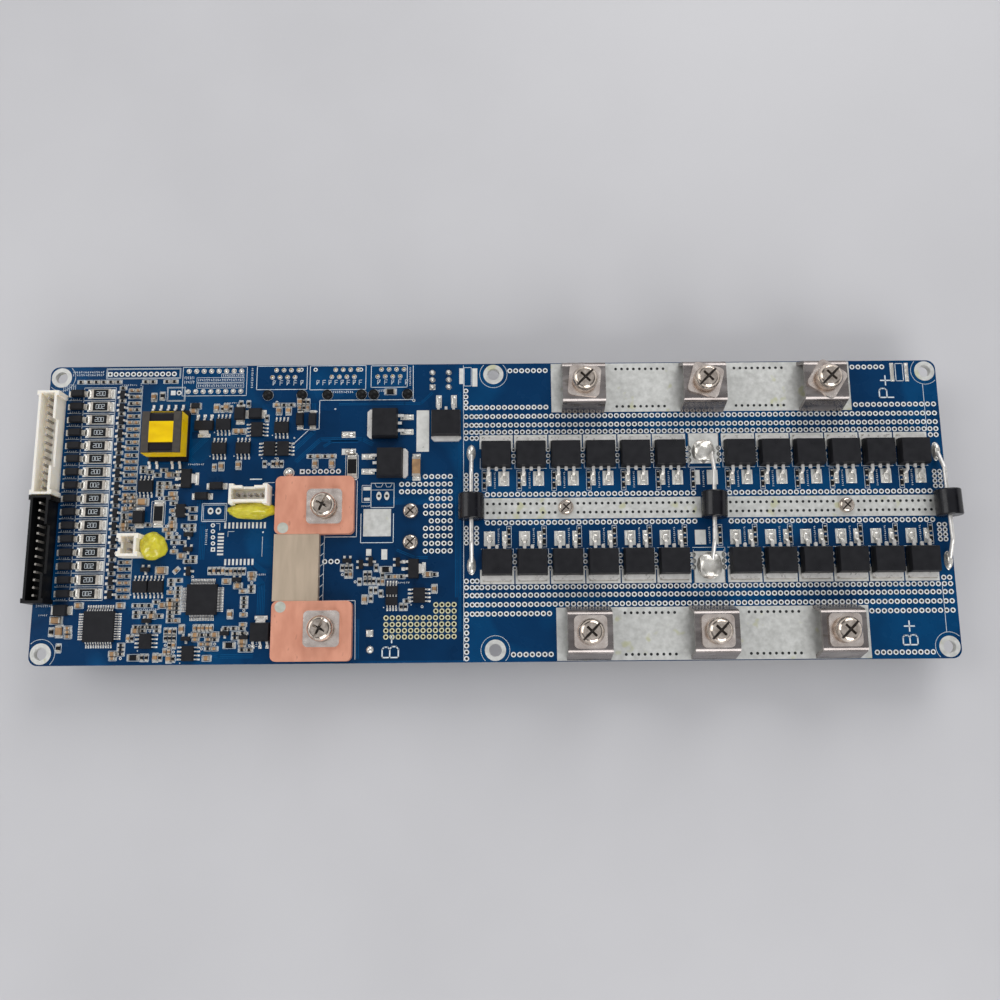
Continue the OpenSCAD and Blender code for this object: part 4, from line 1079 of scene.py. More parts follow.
@dataclass
class SmallParts:
    """Chip parts placed one by one, and packed fields of them between the chips.

    Singles hold x, y and turn by kind; each field is a rectangle and a turn.
    """

    board: BoardPrint
    singles: dict[Chip, tuple[tuple[float, float, float], ...]]
    fields: tuple[tuple[float, float, float, float, float], ...]
    step: Point = (2.25, 1.32)
    clearance: float = 0.25
    taken: list[Box] = field(default_factory=list)

    def block_nodes(self) -> None:
        """Keeps the fields clear of everything that the frame holds on the board."""
        for body in islands(
                "small_outline_chips", "tab_regulators", "board_diodes", "balance_diodes",
                "balance_resistors", "controller_chip", "monitor_chip", "regulators",
                "two_pin_header", "five_pin_header", "shunt_upper_plate",
                "shunt_lower_plate", "shunt_bridge", "transformer_bobbin",
                "chip_capacitor", "regulator_frames", "transformer_leads"):
            low, high, gap = body.low, body.high, self.clearance
            self.taken.append((low.x - gap, low.y - gap, high.x + gap, high.y + gap))

    def free(self, x: float, y: float, w: float, l: float) -> bool:
        """Takes a rectangle if it is clear.

        Args:
            x: Its middle along X.
            y: Its middle along Y.
            w: Its size along X.
            l: Its size along Y.

        Returns:
            Whether it was clear.
        """
        box = (x - w / 2, y - l / 2, x + w / 2, y + l / 2)
        for x0, y0, x1, y1 in self.taken:
            if box[0] < x1 and box[2] > x0 and box[1] < y1 and box[3] > y0:
                return False
        self.taken.append(box)
        return True

    def build(self) -> None:
        """Puts the singles first, then fills the fields."""
        self.block_nodes()
        for kind, places in self.singles.items():
            size = (kind.value[0] + 0.5, kind.value[1] + 0.2)
            for x, y, turn in places:
                self.free(x, y, *(size[::-1] if turn % 180 else size))
                self.place(kind, x, y, turn)
        for seed, (*box, turn) in enumerate(self.fields):
            self.fill(box, turn, seed)

    def fill(self, box: Sequence[float], turn: float, seed: int) -> None:
        """Packs one rectangle with rows of small chips in a fixed, varied order.

        Args:
            box: Its lowest X and Y, then its highest.
            turn: Degrees that the chips are turned.
            seed: A number that varies the order.
        """
        x0, y0, x1, y1 = box
        step_x, step_y = self.step if turn == 0 else self.step[::-1]
        nx, ny = max(1, round((x1 - x0) / step_x)), max(1, round((y1 - y0) / step_y))
        order = (Chip.RESISTOR, Chip.CAPACITOR, Chip.RESISTOR, Chip.RESISTOR, Chip.CAPACITOR,
                 Chip.RESISTOR, Chip.WIDE_CAPACITOR, Chip.RESISTOR, Chip.RESISTOR)
        for i in range(nx):
            for j in range(ny):
                pick = (i * 7 + j * 5 + seed * 3 + (i * j) % 4) % 11
                x, y = x0 + (i + 0.5) * (x1 - x0) / nx, y0 + (j + 0.5) * (y1 - y0) / ny
                if pick < len(order) and self.free(x, y, step_x * 0.86, step_y * 0.86):
                    self.place(order[pick], x, y, turn)
                elif pick == 9 and self.free(x, y, 0.9, 0.9):
                    self.board.via(x, y, 0.9)

    def place(self, kind: Chip, x: float, y: float, turn: float) -> None:
        """Puts one part with its pads, ends and the ink round it.

        Args:
            kind: The part's kind.
            x: Its place along X.
            y: Its place along Y.
            turn: Degrees that it is turned.
        """
        if kind in (Chip.TRANSISTOR, Chip.TALL_BLOCK):
            self.package(kind, x, y, turn)
            return
        w, l, h = kind.value
        p = self.board
        cap = 0.28 * min(w, 2.0)
        for end in (-1, 1):
            p.pad(*spot(x, y, turn, end * w / 2, 0), 0.6, l + 0.12, turn)
            if kind is Chip.DIODE:
                shape, reach, size = BLOCK, w / 2 + 0.2, (0.5, l * 0.7, 0.55)
            else:
                shape, reach, size = PILLOW, w / 2 - cap / 2 + 0.03, (cap, l + 0.04, h + PAD)
            p["ends"].put(shape, *spot(x, y, turn, end * reach, 0), *size, turn=turn)
            for u0, v0, u1, v1 in ((-w / 2 - 0.25, end * (l / 2 + 0.27),
                                    w / 2 + 0.25, end * (l / 2 + 0.27)),
                                   (end * (w / 2 + 0.45), -l / 2 - 0.2,
                                    end * (w / 2 + 0.45), l / 2 + 0.2)):
                p["silk"].stroke(spot(x, y, turn, u0, v0), spot(x, y, turn, u1, v1), 0.15)
        if kind in RESISTORS:
            p["glaze"].put(BLOCK, x, y, w - 2 * cap + 0.15, l, h + 0.02, turn=turn)
        elif kind in CAPACITORS:
            p["tan"].put(PILLOW, x, y, w - 0.5 * cap, l, h, turn=turn)
        else:
            p["black"].put(BLOCK, x, y, w, l, h, 0.05, turn)

    def package(self, kind: Chip, x: float, y: float, turn: float) -> None:
        """Puts one moulded package on three or four bent leads.

        Args:
            kind: The part's kind.
            x: Its place along X.
            y: Its place along Y.
            turn: Degrees that it is turned.
        """
        w, l, h = kind.value
        p = self.board
        p["black"].put(BLOCK, x, y, w, l, h, 0.05, turn)
        feet = ((-w / 3, 1), (w / 3, 1), (0, -1)) if kind is Chip.TRANSISTOR else (
            (-w / 4, 1), (w / 4, 1), (-w / 4, -1), (w / 4, -1))
        for u, way in feet:
            p["leads"].put(LEAD, *spot(x, y, turn, u, way * l / 2), 0.45, 0.6, h * 0.6,
                           turn=turn + (180 if way > 0 else 0))
            p.pad(*spot(x, y, turn, u, way * (l / 2 + 0.5)), 0.8, 0.9, turn)


@dataclass
class ChipLeads:
    """Leads, tabs and pads of the packages whose bodies the frame holds."""

    board: BoardPrint

    def build(self) -> None:
        """Puts leads on every package."""
        for body in islands("small_outline_chips"):
            self.small_outline(body)
        for name, pitch, count, width, reach in (("controller_chip", 0.5, 16, 0.24, 1.1),
                                                 ("monitor_chip", 0.8, 11, 0.36, 1.2)):
            for body in islands(name):
                for turn in (180, 0, 90, -90):
                    self.side(body, turn, centred(count, pitch), width, reach, 0.7)
                self.dimple(body.low.x + 1.4, body.low.y + 1.4, 1.2, body.top)
        for body in islands("tab_regulators"):
            self.tab_package(body)
        for body in islands("board_diodes", "balance_diodes"):
            self.diode(body)
        for node in ("balance_resistors", "chip_capacitor"):
            for body in islands(node):
                self.end_caps(body, node == "chip_capacitor")
        for way, row in ((1, "upper"), (-1, "lower")):
            for body in islands(f"transistors_{row}_left", f"transistors_{row}_right"):
                self.dimple(body.x, body.y + way * 2.6, 1.5, body.top)

    def dimple(self, x: float, y: float, across: float, top: float) -> None:
        """Puts the round mould mark on a package's top."""
        self.board["black"].put(HAIR_RING, x, y, across, across, 0.04, z=top)

    def side(self, body: Body, turn: float, places: Iterable[float], width: float,
             reach: float, rise: float) -> None:
        """Puts gull-wing leads, with pads and solder, along one side of a body.

        Args:
            body: The package.
            turn: The side: 0 faces -Y, 90 faces +X, 180 faces +Y.
            places: The leads' places along the side, from its middle.
            width: A lead's width.
            reach: How far a lead reaches out.
            rise: How high it leaves the body.
        """
        out = body.size[0 if turn % 180 else 1] / 2
        p = self.board
        for u in places:
            p["leads"].put(LEAD, *spot(body.x, body.y, turn, u, -out), width, reach, rise,
                           turn=turn)
            foot = spot(body.x, body.y, turn, u, -out - reach - 0.1)
            p.pad(*foot, width * 1.35, 1.2, turn)
            p["solder"].put(DOME, *foot, width * 1.3, 1.0, 0.16, turn=turn)

    def small_outline(self, body: Body) -> None:
        """Puts four leads on each long side, the mould mark and the dot of ink.

        Args:
            body: The package.
        """
        w, l = body.size
        pitch = 1.27 if max(w, l) > 4.5 else 0.95
        for turn in (180, 0) if w >= l else (90, -90):
            self.side(body, turn, centred(4, pitch), 0.42, 1.05, 0.75)
        self.dimple(body.low.x + w * 0.18, body.low.y + l * 0.2, 0.7, body.top)
        self.board["silk"].put(DISC, body.low.x - 0.7, body.low.y - 0.6, 0.4, 0.4, PRINT)

    def tab_package(self, body: Body) -> None:
        """Puts three leads on one long side and the wide tab on the other.

        Args:
            body: The package.
        """
        w, l = body.size
        tab_turn = 90 if l > w else 0 if body.y > 0 else 180
        self.side(body, tab_turn - 180, (-2.3, 0.0, 2.3), 0.8, 1.5, 0.85)
        self.side(body, tab_turn, (0.0,), 3.1, 1.5, 0.85)

    def diode(self, body: Body) -> None:
        """Puts a folded terminal, a pad and solder at each end of a moulded diode.

        Args:
            body: The diode.
        """
        long, wide, turn = max(body.size), min(body.size), body.turn
        for end in (-1, 1):
            self.board["ends"].put(BLOCK, *body.at(end * (long / 2 + 0.2)), 0.55,
                                   wide * 0.62, 1.05, turn=turn)
            foot = body.at(end * (long / 2 + 0.55))
            self.board.pad(*foot, 1.5, wide * 0.8, turn)
            self.board["solder"].put(PILLOW, *foot, 0.7, wide * 0.66, 0.5, turn=turn)

    def end_caps(self, body: Body, tall: bool) -> None:
        """Puts tinned ends, pads and solder on a large chip resistor or capacitor.

        Args:
            body: The chip.
            tall: Whether it is a capacitor, which shows no white edge.
        """
        long, wide, top, turn = max(body.size), min(body.size), body.top, body.turn
        for way in () if tall else (-1, 1):
            self.board["alumina"].put(BLOCK, *body.at(0, way * (wide / 2 - 0.06)),
                                      long - 1.4, 0.16, top + 0.02, turn=turn)
        for end in (-1, 1):
            for key, shape, reach, size in (
                    ("pads", BLOCK, long / 2 + 0.35, (2.0, wide + 0.1, PAD)),
                    ("ends", BLOCK, long / 2 - 0.36, (0.75, wide + 0.06, top + 0.04)),
                    ("solder", PILLOW, long / 2 + 0.25, (0.9, wide * 0.9, top * 0.7))):
                self.board[key].put(shape, *body.at(end * reach), *size, turn=turn)


@dataclass
class BalanceChannels:
    """Sixteen cell channels beside the headers: a diode, a resistor, a switch and chips."""

    board: BoardPrint
    rows: int = 16
    pitch: float = 4.49
    first_y: float = 40.4
    resistor_x: float = -132.3
    switch_x: float = -124.95
    chips_x: tuple[float, float] = (-122.0, -119.9)
    figures: str = "200"
    glaze_top: float = 0.6

    def build(self) -> None:
        """Puts the ink, marks and small parts of each row."""
        p = self.board
        for k in range(self.rows):
            y = self.first_y - k * self.pitch
            p["silk"].frame(-138.2, y - 2.2, -127.5, y + 2.2, 0.17)
            p["silk"].stroke((-143.3, y - 2.2), (-138.8, y - 2.2), 0.14)
            p.marks((-142.8, y - 2.1, -139.4, y - 1.5))
            self.print_figures(y, -1 if k % 2 else 1)
            self.switch(y)
            for n, x in enumerate(self.chips_x):
                for dy in (-1.1, 1.1):
                    self.chip(x, y + dy, (k * 2 + n + int(dy > 0)) % 3 == 0)
        p["silk"].stroke((-118.6, 43.2), (-118.6, -27.5), 0.14)

    def print_figures(self, y: float, way: int) -> None:
        """Prints the plain figures on a resistor's glaze.

        Args:
            y: The resistor's place along Y.
            way: 1 where they stand upright, -1 where they are upside down.
        """
        for k, letter in enumerate(self.figures):
            for stroke in GLYPHS[letter]:
                run = [((u - 2 + 5.4 * (k - 1)) * 0.19, (v - 3) * 0.24) for u, v in stroke]
                for (u0, v0), (u1, v1) in zip(run, run[1:]):
                    self.board["silk"].put(
                        BLOCK, self.resistor_x + way * (u0 + u1) / 2,
                        y + way * (v0 + v1) / 2, math.hypot(u1 - u0, v1 - v0) + 0.12, 0.13,
                        0.02, self.glaze_top, math.degrees(math.atan2(v1 - v0, u1 - u0)))

    def switch(self, y: float) -> None:
        """Puts the small transistor of a row, and the chip beside it.

        Args:
            y: The row's place along Y.
        """
        p = self.board
        p["black"].put(BLOCK, self.switch_x, y - 0.4, 1.4, 2.5, 1.0, 0.05)
        for way, dy in ((-1, 0.6), (-1, -1.3), (1, -0.4)):
            p["leads"].put(LEAD, self.switch_x + way * 0.75, y + dy, 0.72, 1.0, 0.8,
                           turn=way * 90)
            p.pad(self.switch_x + way * 1.45, y + dy, 1.0, 0.85)
        self.chip(self.switch_x - 0.1, y + 2.02, True)

    def chip(self, x: float, y: float, resistor: bool) -> None:
        """Puts one small chip.

        Args:
            x: Its place along X.
            y: Its place along Y.
            resistor: Whether it is a black resistor, or else a tan capacitor.
        """
        p = self.board
        p["silk"].frame(x - 1.22, y - 0.66, x + 1.22, y + 0.66, 0.13)
        for end in (-1, 1):
            p.pad(x + end * 0.75, y, 0.6, 0.95)
            p["ends"].put(PILLOW, x + end * 0.62, y, 0.42, 0.86, 0.55 if resistor else 0.8)
        if resistor:
            p["glaze"].put(BLOCK, x, y, 1.0, 0.82, 0.5)
        else:
            p["tan"].put(PILLOW, x, y, 1.3, 0.82, 0.8)


@dataclass
class PinSolder:
    """Solder at the plated holes of every part whose pins pass through the board."""

    board: BoardPrint

    def build(self) -> None:
        """Puts a dome of solder on each pin tip, above or below the board."""
        p = self.board
        for node, across, height in (("jack_contacts", 1.55, 0.95),
                                     ("dual_in_line_legs", 1.7, 0.9), ("six_pin_legs", 1.9, 1.0)):
            for body in islands(node):
                if body.top > 0.1:
                    p["rings"].put(RING, body.x, body.y, across, across, PAD)
                    p["solder"].put(DOME, body.x, body.y, across * 0.86, across * 0.86,
                                    height)
        for body in islands("cell_header_pins", "small_header_pins"):
            p["low_rings"].put(RING, body.x, body.y, 1.9, 1.9, PAD)
            p["low_solder"].put(DOME, body.x, body.y, 1.6, 1.6, 1.0)


@dataclass
class ScrewHeads:
    """Painted shade in the cross and the slot of every screw on the upper face."""

    board: BoardPrint

    def build(self) -> None:
        """Fills the bottom of each recess with painted shade."""
        for body in islands("terminal_screws", "shunt_screws", "heatsink_screws"):
            r = body.size[0] / 2
            for turn, long, wide, high, down in ((45, 1.0, 0.19, 0.2, 0.45),
                                                 (135, 1.0, 0.19, 0.2, 0.45),
                                                 (45, 1.8, 0.16, 0.04, 0.21)):
                self.board["recess"].put(BLOCK, body.x, body.y, r * long, r * wide,
                                         r * high, z=body.top - r * down, turn=turn)


@dataclass
class GlueBlob:
    """A lump of staking glue against a header's side, w by l by h around x, y."""

    name: str
    x: float
    y: float
    w: float
    l: float
    h: float
    swell: float = 0.2
    ripple: float = 0.09
    sag: float = 0.25
    waist: float = 0.15

    def build(self) -> None:
        """Makes a sagging lump with an uneven edge, flat on the board."""
        bm = bmesh.new()
        bmesh.ops.create_icosphere(bm, subdivisions=4, radius=1.0)
        for vert in bm.verts:
            broad = noise.noise(vert.co * 1.7 + Vector((self.x, self.y, 0)))
            vert.co *= 1 + self.swell * broad + self.ripple * noise.noise(vert.co * 4.0)
            spread = 1 + self.sag * max(0.0, 0.35 - vert.co.z)
            vert.co.xy *= spread
        cut = bmesh.ops.bisect_plane(bm, geom=bm.verts[:] + bm.edges[:] + bm.faces[:],
                                     plane_co=(0, 0, -self.waist), plane_no=(0, 0, -1),
                                     clear_outer=True)
        rim = [e for e in cut["geom_cut"] if isinstance(e, bmesh.types.BMEdge)]
        bmesh.ops.holes_fill(bm, edges=rim)
        bmesh.ops.translate(bm, vec=(0, 0, self.waist), verts=bm.verts)
        size = (self.w / 2 * MM, self.l / 2 * MM, self.h / (1 + self.waist) * MM)
        bmesh.ops.scale(bm, vec=size, verts=bm.verts)
        bmesh.ops.translate(bm, vec=(self.x * MM, self.y * MM, BOARD_TOP * MM), verts=bm.verts)
        publish(bm, self.name, GLUE, True)


# ---------------------------------------------------------------- control area


# Outlines in ink: corner, opposite corner and line width.
OUTLINES: tuple[tuple[float, ...], ...] = (
    (-131.1, 45.7, -106, 49.3, 0.14), (-130.8, 46, -106.3, 49, 0.12),
    (-105.2, 39.5, -83.5, 49.6, 0.16), (-100.4, 42.2, -84.5, 43.9, 0.12),
    (-100.4, 44.2, -84.5, 45.9, 0.12), (-92.1, 46, -84.6, 47.2, 0.12),
    (-110.2, 37.7, -104.1, 42.6, 0.14), (-109.9, 38, -104.4, 42.3, 0.12),
    (-80.1, 41.5, -63.1, 49.75, 0.2), (-62.1, 41.3, -43.2, 49.75, 0.2),
    (-41.4, 42, -29.2, 49.6, 0.2), (-49.4, 10.6, -45.2, 18.6, 0.14), (-40.8, 0.7, -33.2, 8.9, 0.2),
    (-43.8, 2.5, -40.9, 8.2, 0.12), (-96.5, -3.5, -88.4, 2.5, 0.2), (-96, -3, -88.9, 2, 0.14),
    (-113.2, -4.5, -108.7, 3.4, 0.14),
)
# Bent lines in ink: line width, then the points.
LINES: tuple[tuple[float, tuple[Point, ...]], ...] = (
    (0.18, ((-102.7, 33.9), (-102.1, 33.9), (-102.1, 18.4), (-102.7, 18.4))),
    (0.2, ((-27.2, 49.5), (-27.1, 37.6), (-58.6, 37.6), (-58.6, 27.6), (-65.7, 27.4))),
    (0.2, ((-62.2, 27.2), (-67.7, 21.9))), (0.4, ((-80.9, 10.6), (-77.3, 10.6))),
    (0.18, ((-45.4, 9.7), (-45.4, -9), (-55.9, -9))),
    (0.18, ((-55.9, -29.9), (-45.4, -29.9), (-45.1, -48.7))),
    (0.14, ((-57.6, -8.6), (-57.6, -29.8))), (0.14, ((-55.9, -8.6), (-55.9, -29.8))),
    (0.16, ((-73, 9.4), (-76.2, 9.4), (-77.2, 8.4), (-77.2, 6.6), (-75.6, 5.2), (-73, 5.2))),
    (0.14, ((-40.8, 6.6), (-33.2, 6.6))),
    (0.14, ((-39.6, 8.9), (-39, 7.6), (-37.4, 7.6), (-36.8, 8.9))),
    (0.14, ((-36.2, 8.9), (-35.6, 7.6), (-34.4, 7.6), (-33.8, 8.9))),
    (0.2, ((-44, -1.4), (-44, -11), (-33.3, -11), (-33.3, -1.4))),
    (0.14, ((-76.2, -8.7), (-76.2, -15.2))), (0.12, ((-87.6, -8.6), (-87.6, -6.9), (-85.6, -6.9))),
    (0.12, ((-91.6, -4.2), (-90.4, -4.2), (-90.4, -6.4))),
)
# Blocks of unreadable small print: corner, opposite corner and how many lines.
SMALL_PRINT: tuple[tuple[float, float, float, float, int], ...] = (
    (-142.6, 48.6, -132, 46.6, 2), (-104.8, 46.6, -101.2, 43.6, 2), (-100.1, 42.4, -84.8, 43.7, 1),
    (-100.1, 44.4, -84.8, 45.7, 1), (-91.8, 46.1, -84.9, 47.1, 1), (-55, 41, -47.4, 39.9, 1),
    (-82.2, 49.2, -81.2, 42, 1), (-28.6, 49, -27.8, 42.4, 1), (-40.6, 41.4, -36.2, 40.2, 1),
    (-145.6, 44.6, -141, 40.6, 1), (-149, -31.4, -143.6, -30.2, 1),
    (-147.9, -33.4, -144.9, -34.2, 1), (-95.2, -6, -94.2, -11.4, 1),
    (-116.6, -31.8, -108.6, -32.5, 1), (-106, -48.8, -101, -47.8, 1),
    (-79, -21.6, -74.6, -20.8, 1), (-77.4, -44.6, -76.4, -36.8, 1), (-44, 1.6, -41.2, 0.8, 1),
    (-102, 16.2, -96.6, 15.4, 1), (-61, 34.2, -59.2, 33.2, 1), (-31.6, -24.6, -27.8, -23.8, 1),
    (-119.4, 44.2, -119, 40.4, 1), (-90.8, 37.2, -85.2, 36.6, 1), (-147.9, 20, -147.3, 28, 1),
    (-125.8, 43.8, -120.6, 43.1, 1),
)
# Rows of plated rings: X from and to, Y, how many, and whether flux was left on them.
RING_ROWS: tuple[tuple[float, float, float, int, bool], ...] = (
    (-127.93, -108.2, 47.3, 11, False), (-61.8, -51.8, 13.05, 6, False),
    (-55.6, -51.5, -17.1, 3, False), (-22.8, -14.6, 11, 5, False), (-30.7, -14.6, 8.45, 9, False),
    (-30.7, -14.6, 5.95, 9, False), (-20.8, -14.6, 3.55, 4, False), (-22.7, -14.6, 1.1, 5, False),
    (-22.7, -14.6, -1.35, 5, False), (-20.8, -14.6, -3.9, 4, False),
    (-22.7, -14.6, -6.4, 5, False), (-22.7, -14.6, -8.9, 5, False),
    (-22.7, -14.6, -11.4, 5, False), (-22.7, -14.6, -13.9, 5, False),
    (-19.2, -13.3, -31.45, 4, True), (-19.2, -13.3, -33.5, 4, True),
    (-35.3, -13.3, -35.6, 12, True), (-35.3, -13.3, -37.7, 12, True),
    (-35.3, -13.3, -39.7, 12, True), (-35.3, -13.3, -41.7, 12, True),
)
# Single plated rings: X, Y and diameter.
RINGS: tuple[tuple[float, float, float], ...] = (
    (-106.2, 40.6, 1.7), (-65.1, 48.4, 1.4), (-60.3, 48.4, 1.4), (-44.9, 48.3, 1.4),
    (-26.9, 37.3, 1), (-53.3, 34.5, 0.6), (-66.8, 24.6, 0.6),
)
# Lands with a bore: the layer, shape, X, Y, size along X and Y, and bore.
LANDS: tuple[tuple[str, Shape, float, float, float, float, float], ...] = (
    ("rings", BLOCK, -129.9, 47.3, 1.55, 1.55, 0.9),
    ("rings", BLOCK, -63.8, 13.05, 1.6, 1.6, 0.85), ("pads", DISC, -38.2, 4.6, 1.7, 2.9, 0.95),
    ("pads", DISC, -35.6, 4.6, 1.7, 2.9, 0.95), ("pads", DISC, -93.7, 0, 1.9, 2.3, 0.95),
    ("pads", DISC, -91.1, 0, 1.9, 2.3, 0.95), ("rings", DISC, -92.7, -4.8, 1.4, 1.4, 0.7),
    ("rings", DISC, -92.6, -6.8, 1.4, 1.4, 0.7), ("rings", DISC, -92.5, -8.8, 1.4, 1.4, 0.7),
    ("rings", DISC, -92.4, -10.8, 1.4, 1.4, 0.7), ("rings", BLOCK, -92.3, -12.8, 1.4, 1.4, 0.7),
)
# Bare tinned pads: corner and opposite corner.
BARE_PADS: tuple[Box, ...] = (
    (-50.9, 24.5, -46.4, 26.6), (-50.8, 18.7, -46.1, 20.7), (-43.4, 6.5, -41, 7.7),
    (-43.1, 3, -41.2, 4), (-42.1, -15.3, -40.4, -13.1), (-37.1, -16.6, -35.2, -13.2),
    (-41.6, -41.6, -39.4, -39.4),
)
# Lone solder joints: X, Y, size along X and Y, and height.
JOINTS: tuple[tuple[float, float, float, float, float], ...] = (
    (-48.25, 25.55, 3.6, 1.9, 1), (-48.05, 19.7, 3.6, 1.9, 1), (-50.3, 25.55, 1.6, 1.7, 0.9),
    (-68.2, 12.6, 3.2, 3.2, 1.5), (-40.4, -45.7, 2.4, 2.4, 1),
)
# Bundles of masked tracks: how many side by side, then the points.
BUNDLES: tuple[tuple[int, tuple[Point, ...]], ...] = (
    (2, ((-119.9, 35), (-119.9, -26))), (3, ((-103.5, 37.6), (-103.5, 20), (-99, 15.6))),
    (4, ((-96, 31.5), (-96, 25), (-104, 17), (-117, 17))),
    (3, ((-66.8, 20.5), (-60.5, 26.5), (-60.5, 36.5))),
    (3, ((-66, 16.5), (-58, 24), (-44, 24), (-40.5, 22.2))),
    (2, ((-56.8, 21.6), (-54.4, 23.2), (-45.5, 23.2))),
    (2, ((-52, 36.2), (-30, 36.2), (-24.5, 36.2), (-20.6, 40))),
    (4, ((-96, -16), (-96, -4.6), (-97.4, 3), (-97.4, 6))),
    (5, ((-81.8, -18), (-76, -24.5), (-76, -34))), (3, ((-79, -17.4), (-74.8, -20.6))),
    (2, ((-122.8, -27), (-119, -31), (-107.5, -31))),
    (3, ((-148, -27.6), (-143, -32), (-136.2, -33))),
    (3, ((-101, -46.6), (-93, -46.6), (-88.8, -47.4), (-78, -47.4))),
    (3, ((-44.6, -36), (-44.6, -48.4))),
    (2, ((-30.5, 12.4), (-30.5, 10.4), (-12.6, 10.4), (-12.6, -29))),
    (2, ((-32, -13.5), (-26, -16), (-22, -16))), (2, ((-11.4, 40), (-11.4, -40))),
    (1, ((-148.6, 38), (-148.6, -28))),
)


@dataclass
class ControlPrint:
    """Ink, pads, rings and tracks of the control area on the board's left third."""

    board: BoardPrint
    hole_x: tuple[float, ...] = (-146.2, 0.0, 146.2)
    hole_y: float = 46.2
    peg_y: float = 39.5
    peg_pitch: float = 11.43

    def build(self) -> None:
        """Puts everything printed or plated that belongs to no single part."""
        self.tables()
        self.fixing_holes()
        self.jack_sites()
        self.shunt_marks()
        self.lands()
        self.tracks()

    def tables(self) -> None:
        """Puts the ink, rings and lands that the tables hold."""
        p = self.board
        for *box, width in OUTLINES:
            p["silk"].frame(*box, width)
        for width, points in LINES:
            p["silk"].path(points, width)
        for *box, lines in SMALL_PRINT:
            p.marks(box, lines)
        for row in RING_ROWS:
            p.row(*row)
        for ring in RINGS:
            p.via(*ring)
        for land in LANDS:
            p.land(*land)
        for box in BARE_PADS:
            p["pads"].span(*box, PAD)
        for joint in JOINTS:
            p["solder"].put(DOME, *joint)
        p.sign("B", -33.8, -46.5, 5.2)
        p.sign("-", -33.4, -42.3, 4.4)

    def fixing_holes(self) -> None:
        """Puts a tinned land, a plated bore and a ring of ink at each fixing hole."""
        p = self.board
        for x in self.hole_x:
            for y in (-self.hole_y, self.hole_y):
                p["bus"].put(WIDE_RING, x, y, 6.8, 6.8, 0.06)
                p["bus"].put(HAIR_RING, x, y, 4.18, 4.18, 2.1, z=-2.05)
                p["low_rings"].put(WIDE_RING, x, y, 6.8, 6.8, 0.06)
                p["silk"].circle(x, y, 4.65)

    def jack_sites(self) -> None:
        """Puts the pin letters above the three jacks, and the ends of their pegs."""
        silk = self.board["silk"]
        for x0, count, pitch in ((-74.6, 5, 2.35), (-59.8, 8, 2.05), (-39.2, 5, 2.35)):
            for k in range(count):
                x = x0 + k * pitch
                silk.path([(x, 43.0), (x, 44.6), (x + 0.9, 44.6)], 0.16, k % 2 == 0)
                silk.stroke((x, 43.8), (x + 0.8, 43.8), 0.16)
        pegs = Layer("jack_peg_ends", BLACK_NYLON, Slot.NYLON, BOARD_TOP, True)
        for place in ("left", "middle", "right"):
            low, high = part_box(f"modular_jack_{place}")
            for off in centred(2, self.peg_pitch):
                x = (low[0] + high[0]) / 2 / MM + off
                pegs.put(DOME, x, self.peg_y, 3.3, 3.3, 1.3)
                self.board["pads"].put(HAIR_RING, x, self.peg_y, 3.7, 3.7, 0.04)
        pegs.build()

    def shunt_marks(self) -> None:
        """Puts the short ink strokes beside the shunt and the weld spots on it."""
        for k in range(6):
            self.board["silk"].stroke((-57.5, -12.2 - 3.4 * k), (-56.0, -10.9 - 3.4 * k))
        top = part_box("shunt_upper_plate")[1][2] / MM
        welds = Layer("shunt_weld_spots", WELD, Slot.TIN, top)
        for y in (-6.3, -32.0):
            welds.put(DISC, -69.0, y, 3.6, 3.6, PAD)
            welds.put(DISC, -68.8, y + 0.1, 2.2, 2.4, 0.12)
        welds.build()

    def lands(self) -> None:
        """Puts the lands round the power packages and where no part is fitted."""
        p = self.board
        for x in (-20.6, -15.1):
            for y in (47.0, 44.45, 41.9):
                shape = BLOCK if (x, y) == (-20.6, 41.9) else DISC
                p["pads"].put(shape, x, y, 1.9, 1.9, PAD)
        p["pads"].span(-25.9, 19.5, -21.7, 33.8, 0.07)
        p["pads"].put(DISC, -68.2, 12.6, 3.6, 3.6, PAD)
        p["rings"].put(BLOCK, -108.2, 40.6, 1.6, 1.6, PAD)
        for x, y, turn in ((-29.1, 28.9, 0), (-41.9, 15.4, 0), (-15.9, 36.8, 90)):
            for off in (-2.54, 2.54):
                u, v = (x, y + off) if turn == 0 else (x + off, y)
                p["pads"].put(BLOCK, u, v, 4.4, 1.9, 0.06, turn=turn)
                p["solder"].put(PILLOW, u, v, 3.4, 1.3, 0.75, turn=turn)
        p["bus"].span(-43.2, -8.9, -34.1, 0.2, 0.07)
        p["solder"].put(PILLOW, -40.5, -40.5, 2.1, 2.1, 0.8)
        for y, x0, pitch, count in ((-4.9, -88.6, 1.3, 11), (-17.0, -88.1, 8.9 / 7, 8)):
            for k in range(count):
                p.pad(x0 + pitch * k, y, 0.65, 2.0)
        for k in range(7):
            p.pad(-89.9, -7.7 - 1.12 * k, 2.0, 0.6)
        p["silk"].put(DISC, -76.1, -7.2, 0.6, 0.6, PRINT)

    def tracks(self) -> None:
        """Puts the bundles of masked tracks and the fields with no copper below."""
        for count, points in BUNDLES:
            for off in centred(count, 0.55):
                run = []
                for k, (x, y) in enumerate(points):
                    a, b = points[max(0, k - 1)], points[min(len(points) - 1, k + 1)]
                    angle = math.atan2(b[1] - a[1], b[0] - a[0])
                    run.append((x - math.sin(angle) * off, y + math.cos(angle) * off))
                for a, b in zip(run, run[1:]):
                    self.board["track"].stroke(a, b, 0.25, 0.025)
        for box in ((-59.5, 20.4, -51.6, 34.0), (-101.2, 24.6, -97.0, 27.0),
                    (-64.3, -49.3, -9.2, 1.6)):
            self.board["bare"].span(*box, 0.012)


